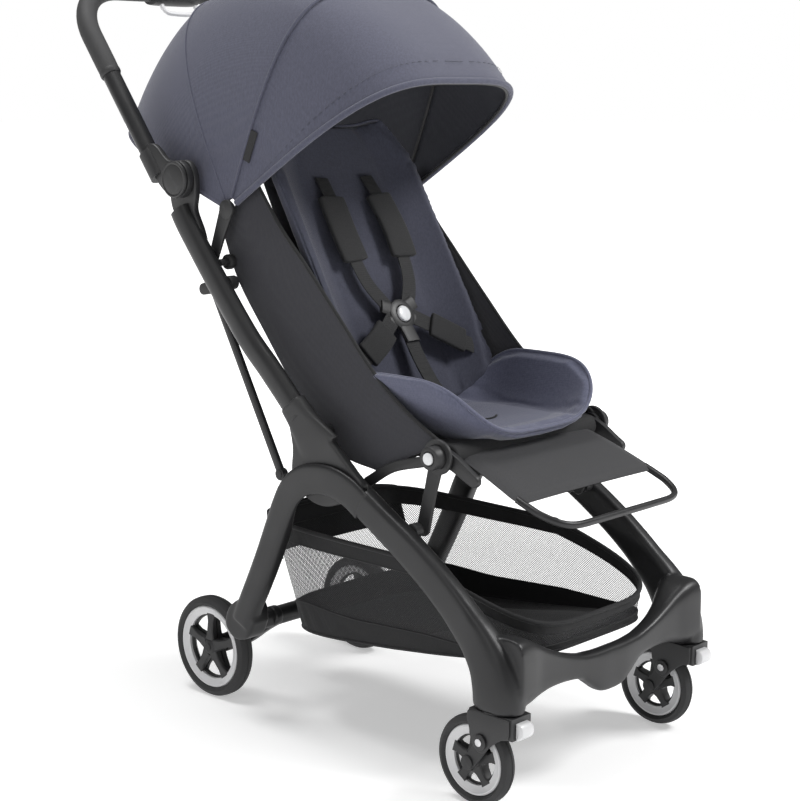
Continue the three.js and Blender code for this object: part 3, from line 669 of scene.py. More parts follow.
def rear_frame():
    """The arches are swept along one line in the side plane; beam and trailing arms are swept and cut from plate."""
    line = [
        (-85, 362), (-60, 377), (-32, 386), (-2, 387.5), (28, 381), (52, 364), (70, 338), (88, 302), (108, 258),
        (130, 214), (152, 172), (162, 150),
    ]
    deep = [42, 43, 43.5, 43.5, 43.5, 43, 42, 40.5, 39.5, 38.5, 37, 36]
    path = spline([(y, z, d) for (y, z), d in zip(line, deep)], 8)
    for name, side in SIDES:
        # A thin outer shell where the moulding turns inside it, and a full tube below.
        full = [
            max(0.0, min(1.0, (k - 0.50) / 0.14)) * (y > 0)
            for k, (y, _, _) in zip(np.linspace(0, 1, len(path)), path)
        ]
        pts = [(209.6 - 7.6 * f, y, z) for f, (y, z, _) in zip(full, path)]
        sections = [ring(8.8 + 15.2 * f, d, 4.2, 32) for f, (_, _, d) in zip(full, path)]
        shell = sweep(pts, sections)
        foot = slab(
            spline(
                [
                    (136, 152), (150, 128), (176, 122), (196, 140), (188, 168), (160, 186), (140, 176),
                    (136, 152),
                ],
                6,
            )[:-1],
            176,
            211,
            4,
        )
        piece(
            f"rear_leg_arch_{name}", sided(together(shell, foot), side), PAINT, "rear_frame",
            (f"rear_leg_{name}",), fuse=2.0, iron=6,
        )
        seam = sweep([(209.6, y, z) for y, z, _ in path[:3]], [ring(8, 41.5, 4.2, 32)] * 3)
        piece(f"arch_seam_{name}", sided(seam, side), SOFT_BLACK, "rear_frame")
    beam = []
    for side in (-1, 1):
        beam.append(
            sided(sweep([(x, *BEAM_LINE) for x in (34, 120, 188)], ring(24, 27, 2.6, 28), (0, 1, 0)), side)
        )
        arm = band([(176, 140), (202, 124), (236, 100), (REAR_AXLE_Y, REAR_RADIUS)], [30, 31, 30, 27], 8, True)
        beam.append(sided(slab(arm, 124.8, 139.2, 3), side))
        beam.append(sided(disc((0, REAR_AXLE_Y, REAR_RADIUS), 14, 124.6, 141.5, 1.5), side))
    beam.append(sweep([(x, *BEAM_LINE) for x in (-40, 40)], ring(13, 13, 2, 24), (0, 1, 0)))
    piece("rear_cross_beam", together(*beam), PAINT, "rear_frame", ("rear_beam",), 35)
    outline = spline(
        [
            (186, 124), (214, 112), (238, 106.5), (246, 110), (246, 117), (238, 122), (214, 132), (194, 150),
            (178, 153), (166, 147), (163, 136), (172, 124), (186, 124),
        ],
        5,
    )[:-1]
    piece(
        "brake_pedal_lever", slab(outline, -29.5, 29.5, 3), PLASTIC, "brake_pedal", ("brake_pedal",), angle=35
    )
    ribs = [
        slab(band([(216, 119), (238, 112.5)], [3, 3], 4, True), -22 + 8 * i, -19 + 8 * i, 0.8) for i in range(6)
    ]
    piece("brake_pedal_ribs", together(*ribs), SOFT_BLACK, "brake_pedal")


rear_frame()


# --------------------------------------------------------------------------------------------------- upper frame
# An oval painted tube on each side rises from a plastic moulding to the elbow, where the handlebar folds. A thin
# strut behind it locks the fold, and a bracket inside it holds the canopy.
CANOPY_PIVOT = (206, 744)
ELBOW = (284, 785)
STRUT_TOP, STRUT_FOOT = (254, 627), (113, 371)
RECLINE_KNOB = (216, 668)
TUBE_X = 202


def upper_frame():
    """Each side's tube is swept up from the side moulding, with the elbow at its top and the strut behind it."""
    line = [(42, 466), (56, 483), (102, 527.5), (146, 568), (207, 638), (262, 705), (279, 727), (288, 741)]
    flare = spline(
        [
            (71, 478), (62, 450), (56, 422), (58, 396), (56, 376), (30, 356), (0, 348), (-30, 354), (-60, 370),
            (-80, 387), (-62, 405), (-40, 424), (-17, 444), (10, 468), (37, 491), (54, 486), (70, 477),
        ],
        5,
    )[:-1]
    for name, side in SIDES:
        tube = sweep([(TUBE_X, y, z) for y, z in spline(line, 10)], ring(22, 37, 2.5, 36))
        piece(
            f"main_tube_shell_{name}", sided(tube, side), PAINT, "upper_frame", (f"main_tube_{name}",),
            50,
        )
        # The moulding starts as a collar around the tube and fans out behind the arch.
        rows = []
        for t, deep, across in (
            (0.0, 41.5, 24.4), (0.12, 42.5, 24.4), (0.3, 46, 22), (0.55, 56, 17), (0.8, 70, 15), (1.0, 80, 14.6)
        ):
            y, z = 56 - 52 * t, 485 - 62 * t
            rows.append((198 + 4 * (1 - t) ** 0.5, y, z, across, deep))
        rows = spline(rows, 6)
        lean = np.array([0.0, -0.772, 0.636])
        body = []
        for x, y, z, across, deep in rows:
            body.append([(x + a, y + lean[1] * b, z + lean[2] * b) for a, b in ring(across, deep, 3.6, 32)])
        plate = slab(flare, 191, 205.4, 3)
        piece(
            f"side_moulding_shell_{name}", sided(together(skin(body), plate), side), PLASTIC, "upper_frame",
            (f"side_moulding_{name}",), fuse=1.8, iron=8,
        )
        boss = disc((0, 20, 445), 9, 164.2, 192, 1)
        piece(f"seat_pivot_boss_{name}", sided(boss, side), PLASTIC, "upper_frame")
        # Elbow: a knuckle on the tube, the handle's ear beside it and a domed cap outside both.
        knuckle = spline(
            [
                (264, 690), (290, 716), (309, 744), (312, 772), (306, 800), (288, 812), (268, 809), (257, 790),
                (256, 764), (259, 742), (246, 716), (240, 700),
            ],
            6,
        )
        parts = [slab(knuckle, 190.9, 201.4, 2.5), disc((0, *ELBOW), 27, 190.7, 201.6, 2.0)]
        piece(f"elbow_knuckle_{name}", sided(together(*parts), side), PLASTIC, "upper_frame", (), angle=40)
        cap = turned(
            [
                (0.01, 213.2), (23, 213.2), (26.2, 214.2), (26.8, 216), (26.2, 218), (24.4, 219), (22.5, 218.7),
                (21.8, 218.2), (20.6, 218.6), (12, 219.6), (0.01, 220),
            ],
            (0, *ELBOW),
            closed=False,
        )
        piece(
            f"elbow_cap_face_{name}", sided(cap, side), PLASTIC, "upper_frame", (f"elbow_cap_{name}",), angle=30
        )
        # Lock strut with flattened eyes, and the knob beside its top end.
        strut = sweep(spline([(171, *STRUT_TOP), (171, 184, 500), (171, *STRUT_FOOT)], 8), ring(9, 13, 3, 20))
        eyes = [disc((0, y, z), 9, 166, 176, 1.2) for y, z in (STRUT_TOP, STRUT_FOOT)]
        piece(
            f"lock_strut_rod_{name}", sided(together(strut, *eyes), side), PAINT, "upper_frame",
            (f"lock_strut_{name}",), 40,
        )
        pivot = [disc((0, *STRUT_TOP), 6, 164, 178.5, 1), disc((0, *STRUT_FOOT), 6, 164.4, 177.4, 1)]
        lug = slab(band([(200, 640), (228, 634), STRUT_TOP], [20, 18, 17], 6, True), 177.2, 192, 1.4)
        piece(f"strut_pins_{name}", sided(together(*pivot, lug), side), SOFT_BLACK, "upper_frame", (), angle=35)
        arm = slab(band([CANOPY_PIVOT, (222, 708), (236, 674)], [27, 21, 18], 8, True), 182.4, 187.4, 1.2)
        hub = disc((0, *CANOPY_PIVOT), 14, 182, 188.4, 1.5)
        foot = disc((0, 236, 674), 8, 183, 191, 1)
        piece(
            f"canopy_bracket_arm_{name}", sided(together(arm, hub, foot), side), PLASTIC, "upper_frame",
            (f"canopy_bracket_{name}",), angle=35,
        )
        knob = turned(
            [
                (0.01, 168), (8.5, 168), (10.5, 169.4), (11, 172), (11, 177), (10.2, 178.6), (8, 179), (7, 178),
                (0.01, 178),
            ],
            (0, *RECLINE_KNOB),
            closed=False,
            n=40,
        )
        post = disc((0, *RECLINE_KNOB), 5, 177, 192, 0.6)
        piece(
            f"recline_knob_{name}", sided(together(knob, post), side), SOFT_BLACK, "upper_frame", (), angle=30
        )


upper_frame()


# ----------------------------------------------------------------------------------------------------- handlebar
# One round bar in two halves with foam grips that turn in towards a plastic housing in the middle. The release
# loop hangs under the housing, and a plastic ear joins each half to its elbow.
HANDLE_TILT = math.radians(52.7)
HANDLE_FOOT = (328, 785)
HANDLE_LENGTH = 352
FOAM = moulded("grip_foam", (0.030, 0.030, 0.031), 0.72, 1500, 0.45)


def on_handle(x, s, lift=0.0):
    """A point s up the slanted plane of the handlebar, and lift in front of it."""
    c, n = math.cos(HANDLE_TILT), math.sin(HANDLE_TILT)
    return (x, HANDLE_FOOT[0] + s * c - lift * n, HANDLE_FOOT[1] + s * n + lift * c)


def grip_sweep(path, diameters):
    """A round bar whose frame is carried along a path that bends sideways."""
    path = np.array(path, float)
    tangents = np.gradient(path, axis=0)
    normal = np.array([0.0, -math.sin(HANDLE_TILT), math.cos(HANDLE_TILT)])
    rings = []
    for p, t, d in zip(path, tangents, diameters):
        t /= np.linalg.norm(t)
        side = np.cross(normal, t)
        side /= np.linalg.norm(side)
        section = ring(d, d, 2, 32)
        rings.append(p + section[:, :1] * side + section[:, 1:] * normal)
    return skin(rings)


def handlebar():
    """Each half is swept up its slanted plane, round a quarter circle and in to the housing."""
    bare = 190
    corner = 92
    turn = HANDLE_LENGTH - corner
    for name, side in SIDES:
        tube = sweep([on_handle(TUBE_X, s) for s in np.linspace(4, bare, 14)], ring(27, 27, 2, 32))
        outline = spline(
            [
                (262, 800), (272, 768), (296, 760), (322, 774), (350, 806), (356, 822), (346, 834), (330, 832),
                (304, 812), (276, 812),
            ],
            6,
        )
        ear = slab(outline, 202.2, 212.2, 2.5)
        shoe = sweep([on_handle(TUBE_X, s) for s in np.linspace(2, 46, 8)], ring(30, 31, 2.6, 32))
        piece(
            f"handle_tube_bar_{name}", sided(tube, side), PAINT, "handlebar", (f"handle_tube_{name}",),
            50,
        )
        hub = disc((0, *ELBOW), 27, 202, 212.6, 2)
        piece(f"handle_ear_{name}", sided(together(ear, shoe, hub), side), PLASTIC, "handlebar", (), angle=40)
        path = [on_handle(TUBE_X, s) for s in np.linspace(bare + 0.4, turn, 12)[:-1]]
        for a in np.linspace(0, math.pi / 2, 16):
            path.append(on_handle(TUBE_X - corner * (1 - math.cos(a)), turn + corner * math.sin(a)))
        path += [on_handle(x, HANDLE_LENGTH) for x in np.linspace(TUBE_X - corner, 44.4, 9)[1:]]
        swell = [30.4 + 0.8 * min(1, i / 3) for i in range(len(path))]
        count = len(path)
        grip = grip_sweep(path, [swell[i] if i < count - 2 else 30.6 for i in range(count)])
        piece(
            f"handle_grip_foam_{name}", sided(grip, side), FOAM, "handlebar", (f"handle_grip_{name}",),
            50,
        )
        cuff = grip_sweep(
            [on_handle(TUBE_X, s) for s in np.linspace(bare - 4, bare + 5, 5)], [29, 31.4, 31.8, 31.8, 31]
        )
        piece(f"handle_cuff_{name}", sided(cuff, side), SOFT_BLACK, "handlebar", (), angle=40)
    shell = []
    for x in np.linspace(-44, 44, 12):
        r = 38 + 4.4 * math.sqrt(max(0.0, 1 - (x / 46) ** 4))
        shell.append(
            [tuple(np.array(on_handle(x, HANDLE_LENGTH)) + np.array([0, a, b])) for a, b in ring(r, r, 2.3, 36)]
        )
    piece("release_housing_shell", skin(shell), PLASTIC, "handlebar", ("release_housing",), angle=40)
    face = Vector(on_handle(0, 0, 1)) - Vector(on_handle(0, 0))
    centre = Vector(on_handle(22, HANDLE_LENGTH)) - face * 19.5
    piece("release_slider", disc(centre, 7.5, 0, 2.2, 0.9, -face), SOFT_BLACK, "handlebar")
    loop = spline(
        [
            on_handle(x, HANDLE_LENGTH - s)
            for x, s in ((-34, 26), (-34, 34), (-27, 41.5), (0, 43.5), (27, 41.5), (34, 34), (34, 26))
        ],
        8,
    )
    piece(
        "release_lever_loop",
        sweep(loop, ring(7, 7, 2.4, 18), tuple(face)),
        PALE,
        "release_lever",
        ("release_lever",),
        50,
    )


handlebar()


# ---------------------------------------------------------------------------------------------------- seat frame
# Flat plastic-covered rails carry the seat. Their front ends hold the leg rest's axis between two white push
# buttons, and a flat stay and a flat link run from there to the front legs.
WHITE = moulded("white_plastic", (0.72, 0.73, 0.74), 0.30, 1100, 0.03, coat=0.3)
SEAT_AXIS = (-183, 438)


def seat_frame():
    """Flat rails, stays and links are bands of plate; the boss and the buttons are turned about the front axis."""
    for name, side in SIDES:
        rail = slab(
            band([(20, 441), (-90, 446), SEAT_AXIS, (-238, 412)], [17, 18, 24, 17], 10, True), 153.5, 162.5, 1.6
        )
        boss = turned(
            [
                (0.01, 160), (14.5, 160), (16, 161.5), (16, 184.2), (15, 186), (13.2, 186.6), (10, 186.6),
                (9.3, 185.8), (9.3, 183.2), (0.01, 183.2),
            ],
            (0, *SEAT_AXIS),
            closed=False,
        )
        pin = disc((0, 20, 445), 5, 158, 180, 0.6)
        cad = ("seat_frame",) if side < 0 else ()
        extra = [disc((0, *SEAT_AXIS), 9, -180, 180, 0.5)] if side < 0 else []
        piece(
            f"seat_rail_{name}",
            together(sided(together(rail, boss, pin), side), *extra),
            PLASTIC,
            "seat",
            cad,
            angle=35,
        )
        button = disc((0, *SEAT_AXIS), 8.2, 185.6, 189.2, 1.2, dome=0.3)
        piece(
            f"leg_rest_button_cap_{name}", sided(button, side), WHITE, f"leg_rest_button_{name}",
            (f"leg_rest_button_{name}",), 30,
        )
        stay = slab(band([(-168, 431), (-108, 414), (-62, 387)], [15, 14, 15], 8, True), 171.7, 176.7, 1.5)
        piece(
            f"seat_stay_bar_{name}", sided(stay, side), PAINT, "seat", (f"seat_stay_{name}",), 40
        )
        link_bar = slab(band([(-158, 338), (-170, 388), SEAT_AXIS], [22, 20, 24], 8, True), 165.5, 170.5, 1.5)
        eye = turned(
            [(17, 165.4), (23, 165.4), (24, 166.4), (24, 169.6), (23, 170.6), (17, 170.6)], (0, *SEAT_AXIS)
        )
        piece(
            f"seat_link_bar_{name}", sided(together(link_bar, eye), side), PLASTIC, "seat_links",
            (f"seat_link_{name}",), angle=35,
        )
    pan = slab(
        spline([(4, 436), (-80, 434), (-150, 434), (-172, 437), (-150, 441.5), (-80, 442), (4, 442)], 4),
        -153,
        153,
        1,
    )
    piece("seat_pan", pan, SOFT_BLACK, "seat", (), 40)


seat_frame()


# ------------------------------------------------------------------------------------------------------ leg rest
# A thin cloth-covered board that hangs from the seat's front axis, with a steel loop for the heels beyond it.

def woven(name, color, second=None, thread=0.0011, roughness=0.85, sheen=0.35, bump=0.35, melange=0.5):
    """Woven cloth: crossed threads in three directions of space, so that it needs no unwrapping, and a melange."""
    material, tree, shade = nodes_of(name)
    place = tree.nodes.new("ShaderNodeTexCoord")
    waves = []
    for direction in ("X", "Y", "Z"):
        wave = node(
            tree, "ShaderNodeTexWave", Scale=0.314 / thread, Distortion=1.1, Detail=1.0,
            bands_direction=direction,
        )
        wave.inputs["Detail Scale"].default_value = 2.0
        link(tree, place.outputs["Object"], wave.inputs["Vector"])
        waves.append(wave.outputs["Fac"])
    first = node(tree, "ShaderNodeMath", operation="MULTIPLY")
    link(tree, waves[0], first.inputs[0])
    link(tree, waves[1], first.inputs[1])
    both = node(tree, "ShaderNodeMath", operation="ADD")
    link(tree, first.outputs[0], both.inputs[0])
    link(tree, waves[2], both.inputs[1])
    height = node(tree, "ShaderNodeBump", Strength=bump, Distance=0.0005)
    link(tree, both.outputs[0], height.inputs["Height"])
    fibre = node(tree, "ShaderNodeTexNoise", Scale=420.0, Detail=4.0, Roughness=0.7)
    stretch = node(tree, "ShaderNodeMapping")
    stretch.inputs["Scale"].default_value = (1.0, 1.0, 0.35)
    link(tree, place.outputs["Object"], stretch.inputs["Vector"])
    link(tree, stretch.outputs[0], fibre.inputs["Vector"])
    broad = node(tree, "ShaderNodeTexNoise", Scale=9.0, Detail=5.0)
    link(tree, place.outputs["Object"], broad.inputs["Vector"])
    slow = node(tree, "ShaderNodeBump", Strength=0.12, Distance=0.004)
    link(tree, broad.outputs[0], slow.inputs["Height"])
    link(tree, height.outputs[0], slow.inputs["Normal"])
    link(tree, slow.outputs[0], shade.inputs["Normal"])
    blend = node(
        tree, "ShaderNodeMapRange", From_Min=0.35, From_Max=0.65, To_Min=0.5 - melange / 2,
        To_Max=0.5 + melange / 2,
    )
    link(tree, fibre.outputs[0], blend.inputs["Value"])
    mix = node(tree, "ShaderNodeMix", data_type="RGBA")
    mix.inputs["A"].default_value = (*[c * 0.78 for c in color], 1)
    mix.inputs["B"].default_value = (*(second or [c * 1.25 for c in color]), 1)
    link(tree, blend.outputs[0], mix.inputs["Factor"])
    link(tree, mix.outputs["Result"], shade.inputs["Base Color"])
    shade.inputs["Roughness"].default_value = roughness
    shade.inputs["Sheen Weight"].default_value = sheen
    shade.inputs["Sheen Roughness"].default_value = 0.4
    return material


def two_faces(rows, columns):
    """The quads of an upper grid, each followed by its like, turned over, in the lower grid numbered after it."""
    upper = np.array(grid_faces(rows, columns))
    lower = upper[:, [0, 3, 2, 1]] + rows * columns
    return [tuple(q) for q in np.stack([upper, lower], axis=1).reshape(-1, 4).tolist()]


SHELL_DARK = woven("leg_rest_cloth", (0.026, 0.026, 0.028), (0.034, 0.034, 0.037), 0.0009, 0.75, 0.15, 0.25)


def leg_rest():
    """A thin curved pad that hangs from the seat's front axis, with a foot loop beyond it."""
    n, m = 25, 17
    tilt = math.radians(-21.6)

    def along(x, s, out=0.0):
        """A point s down the slope of the leg rest from its axis, and out above it."""
        return (
            x,
            SEAT_AXIS[0] - s * math.cos(tilt) + out * math.sin(tilt),
            SEAT_AXIS[1] + s * math.sin(tilt) + out * math.cos(tilt),
        )

    top, bottom = [], []
    for j in range(m):
        s = 2 + 130 * j / (m - 1)
        row_t, row_b = [], []
        for i in range(n):
            u = -1 + 2 * i / (n - 1)
            edge = 1 - max(0, (s - 118) / 14) ** 2 * 0.05
            x = u * (150 - 2 * (1 - s / 132) * 6) * edge
            crown = 2.6 * (1 - u * u) + 2.0 * math.sin(math.pi * s / 132)
            ends = 1.0 if abs(u) < 0.999 and 0 < j < m - 1 else 0.0
            for out, row in ((4.6 * ends + crown, row_t), (-4.6 * ends + crown * 0.6, row_b)):
                row.append(along(x, s, out))
        top.append(row_t)
        bottom.append(row_b)
    verts = [p for row in top for p in row] + [p for row in bottom for p in row]
    piece(
        "leg_rest_cover", (
            verts, two_faces(m, n)
        ), SHELL_DARK, "leg_rest", ("leg_rest_panel",), 60,
        levels=1,
    )
    hinge = [sided(disc((0, *SEAT_AXIS), 13, 130, 152, 1.5), side) for side in (-1, 1)]
    piece("leg_rest_knuckles", together(*hinge), PLASTIC, "leg_rest")

    loop = spline(
        [
            along(x, s)
            for x, s in (
                (-140, 120), (-140, 138), (-138, 160), (-126, 184), (-104, 195), (-60, 196.5), (0, 196.5),
                (60, 196.5), (104, 195), (126, 184), (138, 160), (140, 138), (140, 120),
            )
        ],
        8,
    )
    normal = (0, math.sin(tilt), math.cos(tilt))
    piece(
        "leg_rest_foot_loop", sweep(loop, ring(10, 9, 2, 20), normal), PAINT, "leg_rest", ("leg_rest_loop",),
        60,
    )


leg_rest()


# -------------------------------------------------------------------------------------------------------- canopy
# Three panels of melange cloth with a dark lining, stretched over two flexible bows. The rear panel is sewn to the
# frame. A piped seam, a deep brim and a plain tab finish it.
CANOPY = woven("canopy_cloth", (0.060, 0.062, 0.092), (0.084, 0.087, 0.128), 0.0010, 0.85, 0.25)
LINING = woven("canopy_lining", (0.030, 0.031, 0.040), None, 0.0010, 0.9, 0.15)
THREAD = woven("stitching_thread", (0.06, 0.062, 0.085), None, 0.0004, 0.8, 0.2, 0.3)
WEBBING = woven("webbing", (0.010, 0.010, 0.011), None, 0.0016, 0.7, 0.05, 0.6)
CANOPY_HALF = 181
BRIM = (32.4, 338, 0.54, 0.52)
PIPING = (67, 330, 0.48, 0.52)
BAND = (118, 345, 0.62, 0.66)
NAPE = (160, 340, 0.55, 0.64)


def bow_point(bow, t, grow=0.0):
    """A point of a bow: t runs from 0 at the left pivot to 1 at the right one."""
    angle, reach, side, crown = bow
    a = math.pi * t
    c, s = math.cos(a), abs(math.sin(a))
    x = -(CANOPY_HALF + grow * 0.6) * math.copysign(abs(c) ** side, c)
    r = (reach + grow) * s**crown
    e = math.radians(angle)
    return (x, CANOPY_PIVOT[0] - r * math.cos(e), CANOPY_PIVOT[1] + r * math.sin(e))


def bow_step(i, count):
    """Steps that crowd towards both pivots, where a bow turns most."""
    k = i / count
    return 0.0012 + (1 - 0.0024) * (k - 0.11 * math.sin(2 * math.pi * k) - 0.025 * math.sin(4 * math.pi * k))


def canopy_sheet(a, b, rows, sag, tuck, columns=96):
    """Cloth between two bows: it hangs in a little between them and puckers beside the seams."""
    verts = []
    for j in range(rows + 1):
        k = j / rows
        bow = tuple(p + (q - p) * k for p, q in zip(a, b))
        for i in range(columns + 1):
            t = bow_step(i, columns)
            crown = math.sin(math.pi * t) ** 0.7
            near = math.exp(-((min(k, 1 - k) / 0.12) ** 2))
            pucker = tuck * near * math.sin(58 * t + 3 * k) * crown * (1 - near) * 2
            dip = -sag * math.sin(math.pi * k) * crown + pucker
            verts.append(bow_point(bow, t, dip - 1.0))
    return verts, grid_faces(rows + 1, columns + 1)


def bow_line(bow, grow, count=110):
    """The bow as a line of points, grow millimetres further out."""
    return [bow_point(bow, bow_step(i, count), grow) for i in range(count + 1)]


def stitches(line, r=0.6, long=2, gap=2):
    """A row of short raised stitches along a line of points."""
    parts = []
    for i in range(0, len(line) - long, long + gap):
        parts.append(sweep(line[i : i + long + 1], ring(2 * r, 2 * r, 2, 6), (0.1, 0.3, 1)))
    return together(*parts)


def declare_sheet(obj):
    """Works out a cloth sheet's area, halved when its edges show it closed; nothing is done with the result."""
    area = sum(p.area for p in obj.data.polygons)
    open_edges = len(obj.data.edge_keys) > 2 * len(obj.data.polygons) + 2
    area = area if open_edges else area / 2


def canopy():
    """Three sheets between four bows, the seams and hems along the bows, and the two wires inside them."""
    panels = (
        ("canopy_rear_cloth", NAPE, BAND, 4, 0.8, "upper_frame", "canopy_rear_panel"),
        ("canopy_middle_cloth", BAND, PIPING, 5, 0.8, "canopy_middle", "canopy_middle_panel"),
        ("canopy_front_cloth", PIPING, BRIM, 3, 0.5, "canopy_front", "canopy_front_panel"),
    )
    for name, a, b, sag, tuck, body, cad in panels:
        bends = body == "upper_frame"
        cloth = piece(
            name, canopy_sheet(a, b, 22, sag, tuck), CANOPY, "" if bends else body, (cad,), 70,
            thick=2.4, inner=LINING,
        )
        declare_sheet(cloth)
        if bends:
            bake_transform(cloth)
    seams = (
        ("canopy_seam_piping", PIPING, 1.8, 2.6, "canopy_front"),
        ("canopy_band_seam", BAND, 0.6, 1.6, "canopy_middle"),
        ("canopy_nape_hem", NAPE, 0.0, 3.0, "upper_frame"),
    )
    for name, bow, grow, r, body in seams:
        piece(
            name,
            sweep(bow_line(bow, grow), ring(2 * r, 2 * r, 2, 12), (0, 0.3, 1)),
            CANOPY,
            body,
            (),
            60,
        )
    # The brim is a deep hem over the wire, with a line of stitching behind it.
    brim = sweep(bow_line(BRIM, -0.8), ring(9, 9, 2.2, 14), (0, 0.3, 1))
    piece("canopy_brim_hem", brim, CANOPY, "canopy_front", (), 60)
    inset = tuple(p + (q - p) * 0.16 for p, q in zip(BRIM, PIPING))
    piece(
        "canopy_brim_stitching", stitches(bow_line(inset, 0.3, 330), 0.5, 2), THREAD, "canopy_front", (),
        60,
    )
    for name, bow, body, cad in (
        ("middle", PIPING, "canopy_middle", "canopy_middle_bow"),
        ("front", BRIM, "canopy_front", "canopy_front_bow"),
    ):
        wire = sweep(bow_line(bow, -6.8), ring(5, 5, 2, 10), (0, 0.3, 1))
        hubs = [sided(disc((0, *CANOPY_PIVOT), 11, 178.4, 181.6, 0.8), side) for side in (-1, 1)]
        piece(
            f"canopy_{name}_wire",
            together(wire, *hubs[: 2 if name == "middle" else 0]),
            SOFT_BLACK,
            body,
            (cad,),
            60,
        )
    # A plain tab sewn in the piping at the left side.
    start = [bow_point(PIPING, t, 1.2) for t in (0.018, 0.03, 0.045)]
    tab = sweep([np.array(p) + np.array([-1.0, -8.5, 1.5]) for p in start], ring(1.6, 17, 5, 12), (1, 0, 0))
    piece("canopy_side_tab", tab, WEBBING, "canopy_front", (), 50)


canopy()


# ---------------------------------------------------------------------------------------------- back of the seat
# A stiff board with a padded liner in front of it. The liner is quilted cloth over wadding, sewn into wings at both
# sides and edged with piping.
SHELL = woven("seat_shell_cloth", (0.030, 0.030, 0.036), (0.040, 0.040, 0.048), 0.0011, 0.85, 0.12, melange=0.3)
# The backrest liner's cloth is the seat liner's, darkened as painted shade for the canopy's shadow over the back.
SHADED_LINER_CLOTH = woven("seat_liner_painted_shade_cloth", (0.044, 0.046, 0.068), (0.060, 0.063, 0.092), 0.0012, 0.9, 0.15)
BACK_FOOT = (18, 462)
BACK_LEAN = math.radians(63)


def swell(obj, pressure, cap, voxel):
    """Pads the piece with a cloth simulation: remeshed, blown up a little with no gravity, and held to a cap."""
    melt = obj.modifiers.new("remesh", "REMESH")
    melt.mode = "VOXEL"
    melt.voxel_size = voxel
    bake(obj)
    before = np.array([v.co for v in obj.data.vertices])
    cloth = obj.modifiers.new("cloth", "CLOTH")
    settings = cloth.settings
    settings.quality = 6
    settings.mass = 0.3
    settings.tension_stiffness = settings.compression_stiffness = 15
    settings.bending_stiffness = 1.2
    settings.use_pressure = True
    settings.uniform_pressure_force = pressure
    settings.effector_weights.gravity = 0
    cloth.collision_settings.use_collision = False
    cloth.point_cache.frame_start = 1
    cloth.point_cache.frame_end = 20
    for number in range(1, 21):
        scene.frame_set(number)
    seen = obj.evaluated_get(bpy.context.evaluated_depsgraph_get())
    after = np.array([v.co for v in seen.data.vertices])
    obj.modifiers.clear()
    move = after - before
    far = np.linalg.norm(move, axis=1)[:, None]
    move *= np.minimum(1, cap / np.maximum(far, 1e-9))
    obj.data.vertices.foreach_set("co", (before + move).astype(np.float32).ravel())
    scene.frame_set(1)
    soft = obj.modifiers.new("iron", "SMOOTH")
    soft.factor = 0.5
    soft.iterations = 4
    sub = obj.modifiers.new("subdivision", "SUBSURF")
    sub.levels = sub.render_levels = 1
    bake(obj)
    shade(obj, 80)


def flatten(obj):
    """Gives the soft piece its own copy of its mesh."""
    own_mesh(obj)


def closed_pad(top, bottom):
    """A closed pad from two equal grids of points, rows of columns."""
    m, n = len(top), len(top[0])
    verts = [p for row in top for p in row] + [p for row in bottom for p in row]
    half = m * n
    faces = two_faces(m, n)
    rim = [i for i in range(n)] + [j * n + n - 1 for j in range(1, m)]
    rim += [(m - 1) * n + i for i in range(n - 2, -1, -1)] + [j * n for j in range(m - 2, 0, -1)]
    for a, b in zip(rim, rim[1:] + rim[:1]):
        faces.append((a, half + a, half + b, b))
    return verts, faces


def lean(x, s, out):
    """A point s up the slanted plane of the back, and out in front of it."""
    c, n = math.cos(BACK_LEAN), math.sin(BACK_LEAN)
    return (x, BACK_FOOT[0] + s * c - out * n, BACK_FOOT[1] + s * n + out * c)


def backrest():
    """The board is a plate; the liner is a pad between two grids, its edge raised into wings and edged with piping."""
    board = slab([lean(0, s, o)[1:] for s, o in ((12, -4), (420, -4), (420, 4), (12, 4))], -135, 135, 1.5)
    piece("backrest_back_board", board, SHELL, "backrest", ("backrest_board",), 40)
    # The liner's back: padded, with its sides folded forward into wings.
    top, bottom, rim = [], [], []
    for j in range(31):
        s = -10 + 448 * j / 30
        k = j / 30
        half = 146 - 40 * max(0.0, (k - 0.78) / 0.22) ** 2.2 - 10 * max(0.0, 0.25 - k) / 0.25
        row_t, row_b = [], []
        for i in range(29):
            u = -1 + 2 * i / 28
            wing = max(0.0, (abs(u) - 0.58) / 0.42) ** 1.7 * (46 - 22 * k)
            channel = 2.2 * math.exp(
                -(((abs(u) - 0.60) / 0.035) ** 2)
            ) + 1.6 * math.exp(-(((k - 0.62) / 0.02) ** 2)) * (abs(u) < 0.6)
            row_t.append(lean(u * half, s, 19 - 3 * (1 - u * u) + wing - channel))
            row_b.append(lean(u * half, s, 5 + wing * 0.78))
        top.append(row_t)
        bottom.append(row_b)
        rim.append((half - 2.5, s, 52 - 19.6 * k))
    # Its darker cloth is painted shade.
    pad = piece(
        "backrest_liner", closed_pad(top, bottom), SHADED_LINER_CLOTH, "backrest", ("backrest_pad",), 80
    )
    swell(pad, 3.0, 0.004, 0.004)
    flatten(pad)
    edge = [lean(-h - 0.8, s, o) for h, s, o in rim] + [
        lean(x, 437, 13 + 14 * (abs(x) / 100) ** 2) for x in (-70, -35, 0, 35, 70)
    ] + [lean(h + 0.8, s, o) for h, s, o in rim[::-1]]
    # The piping shares the liner's painted-shade cloth.
    piping = piece(
        "backrest_liner_piping",
        sweep(spline(edge, 3), ring(4.4, 4.4, 2, 10), (0, 0.5, 1)),
        SHADED_LINER_CLOTH,
        "backrest",
        (),
        60,
    )
    flatten(piping)


backrest()


# ---------------------------------------------------------------------------------------------------- seat liner
# The seat's liner is a padded bowl, high at the hips and low at the knees, with a piped rim and a slot for the
# crotch strap. A black cloth base under it rolls over the front axis.
BLACK_CLOTH = woven("black_cloth", (0.013, 0.013, 0.014), None, 0.0011, 0.85, 0.08)
LINER = woven("seat_liner_cloth", (0.092, 0.097, 0.148), (0.125, 0.132, 0.195), 0.0012, 0.9, 0.4)


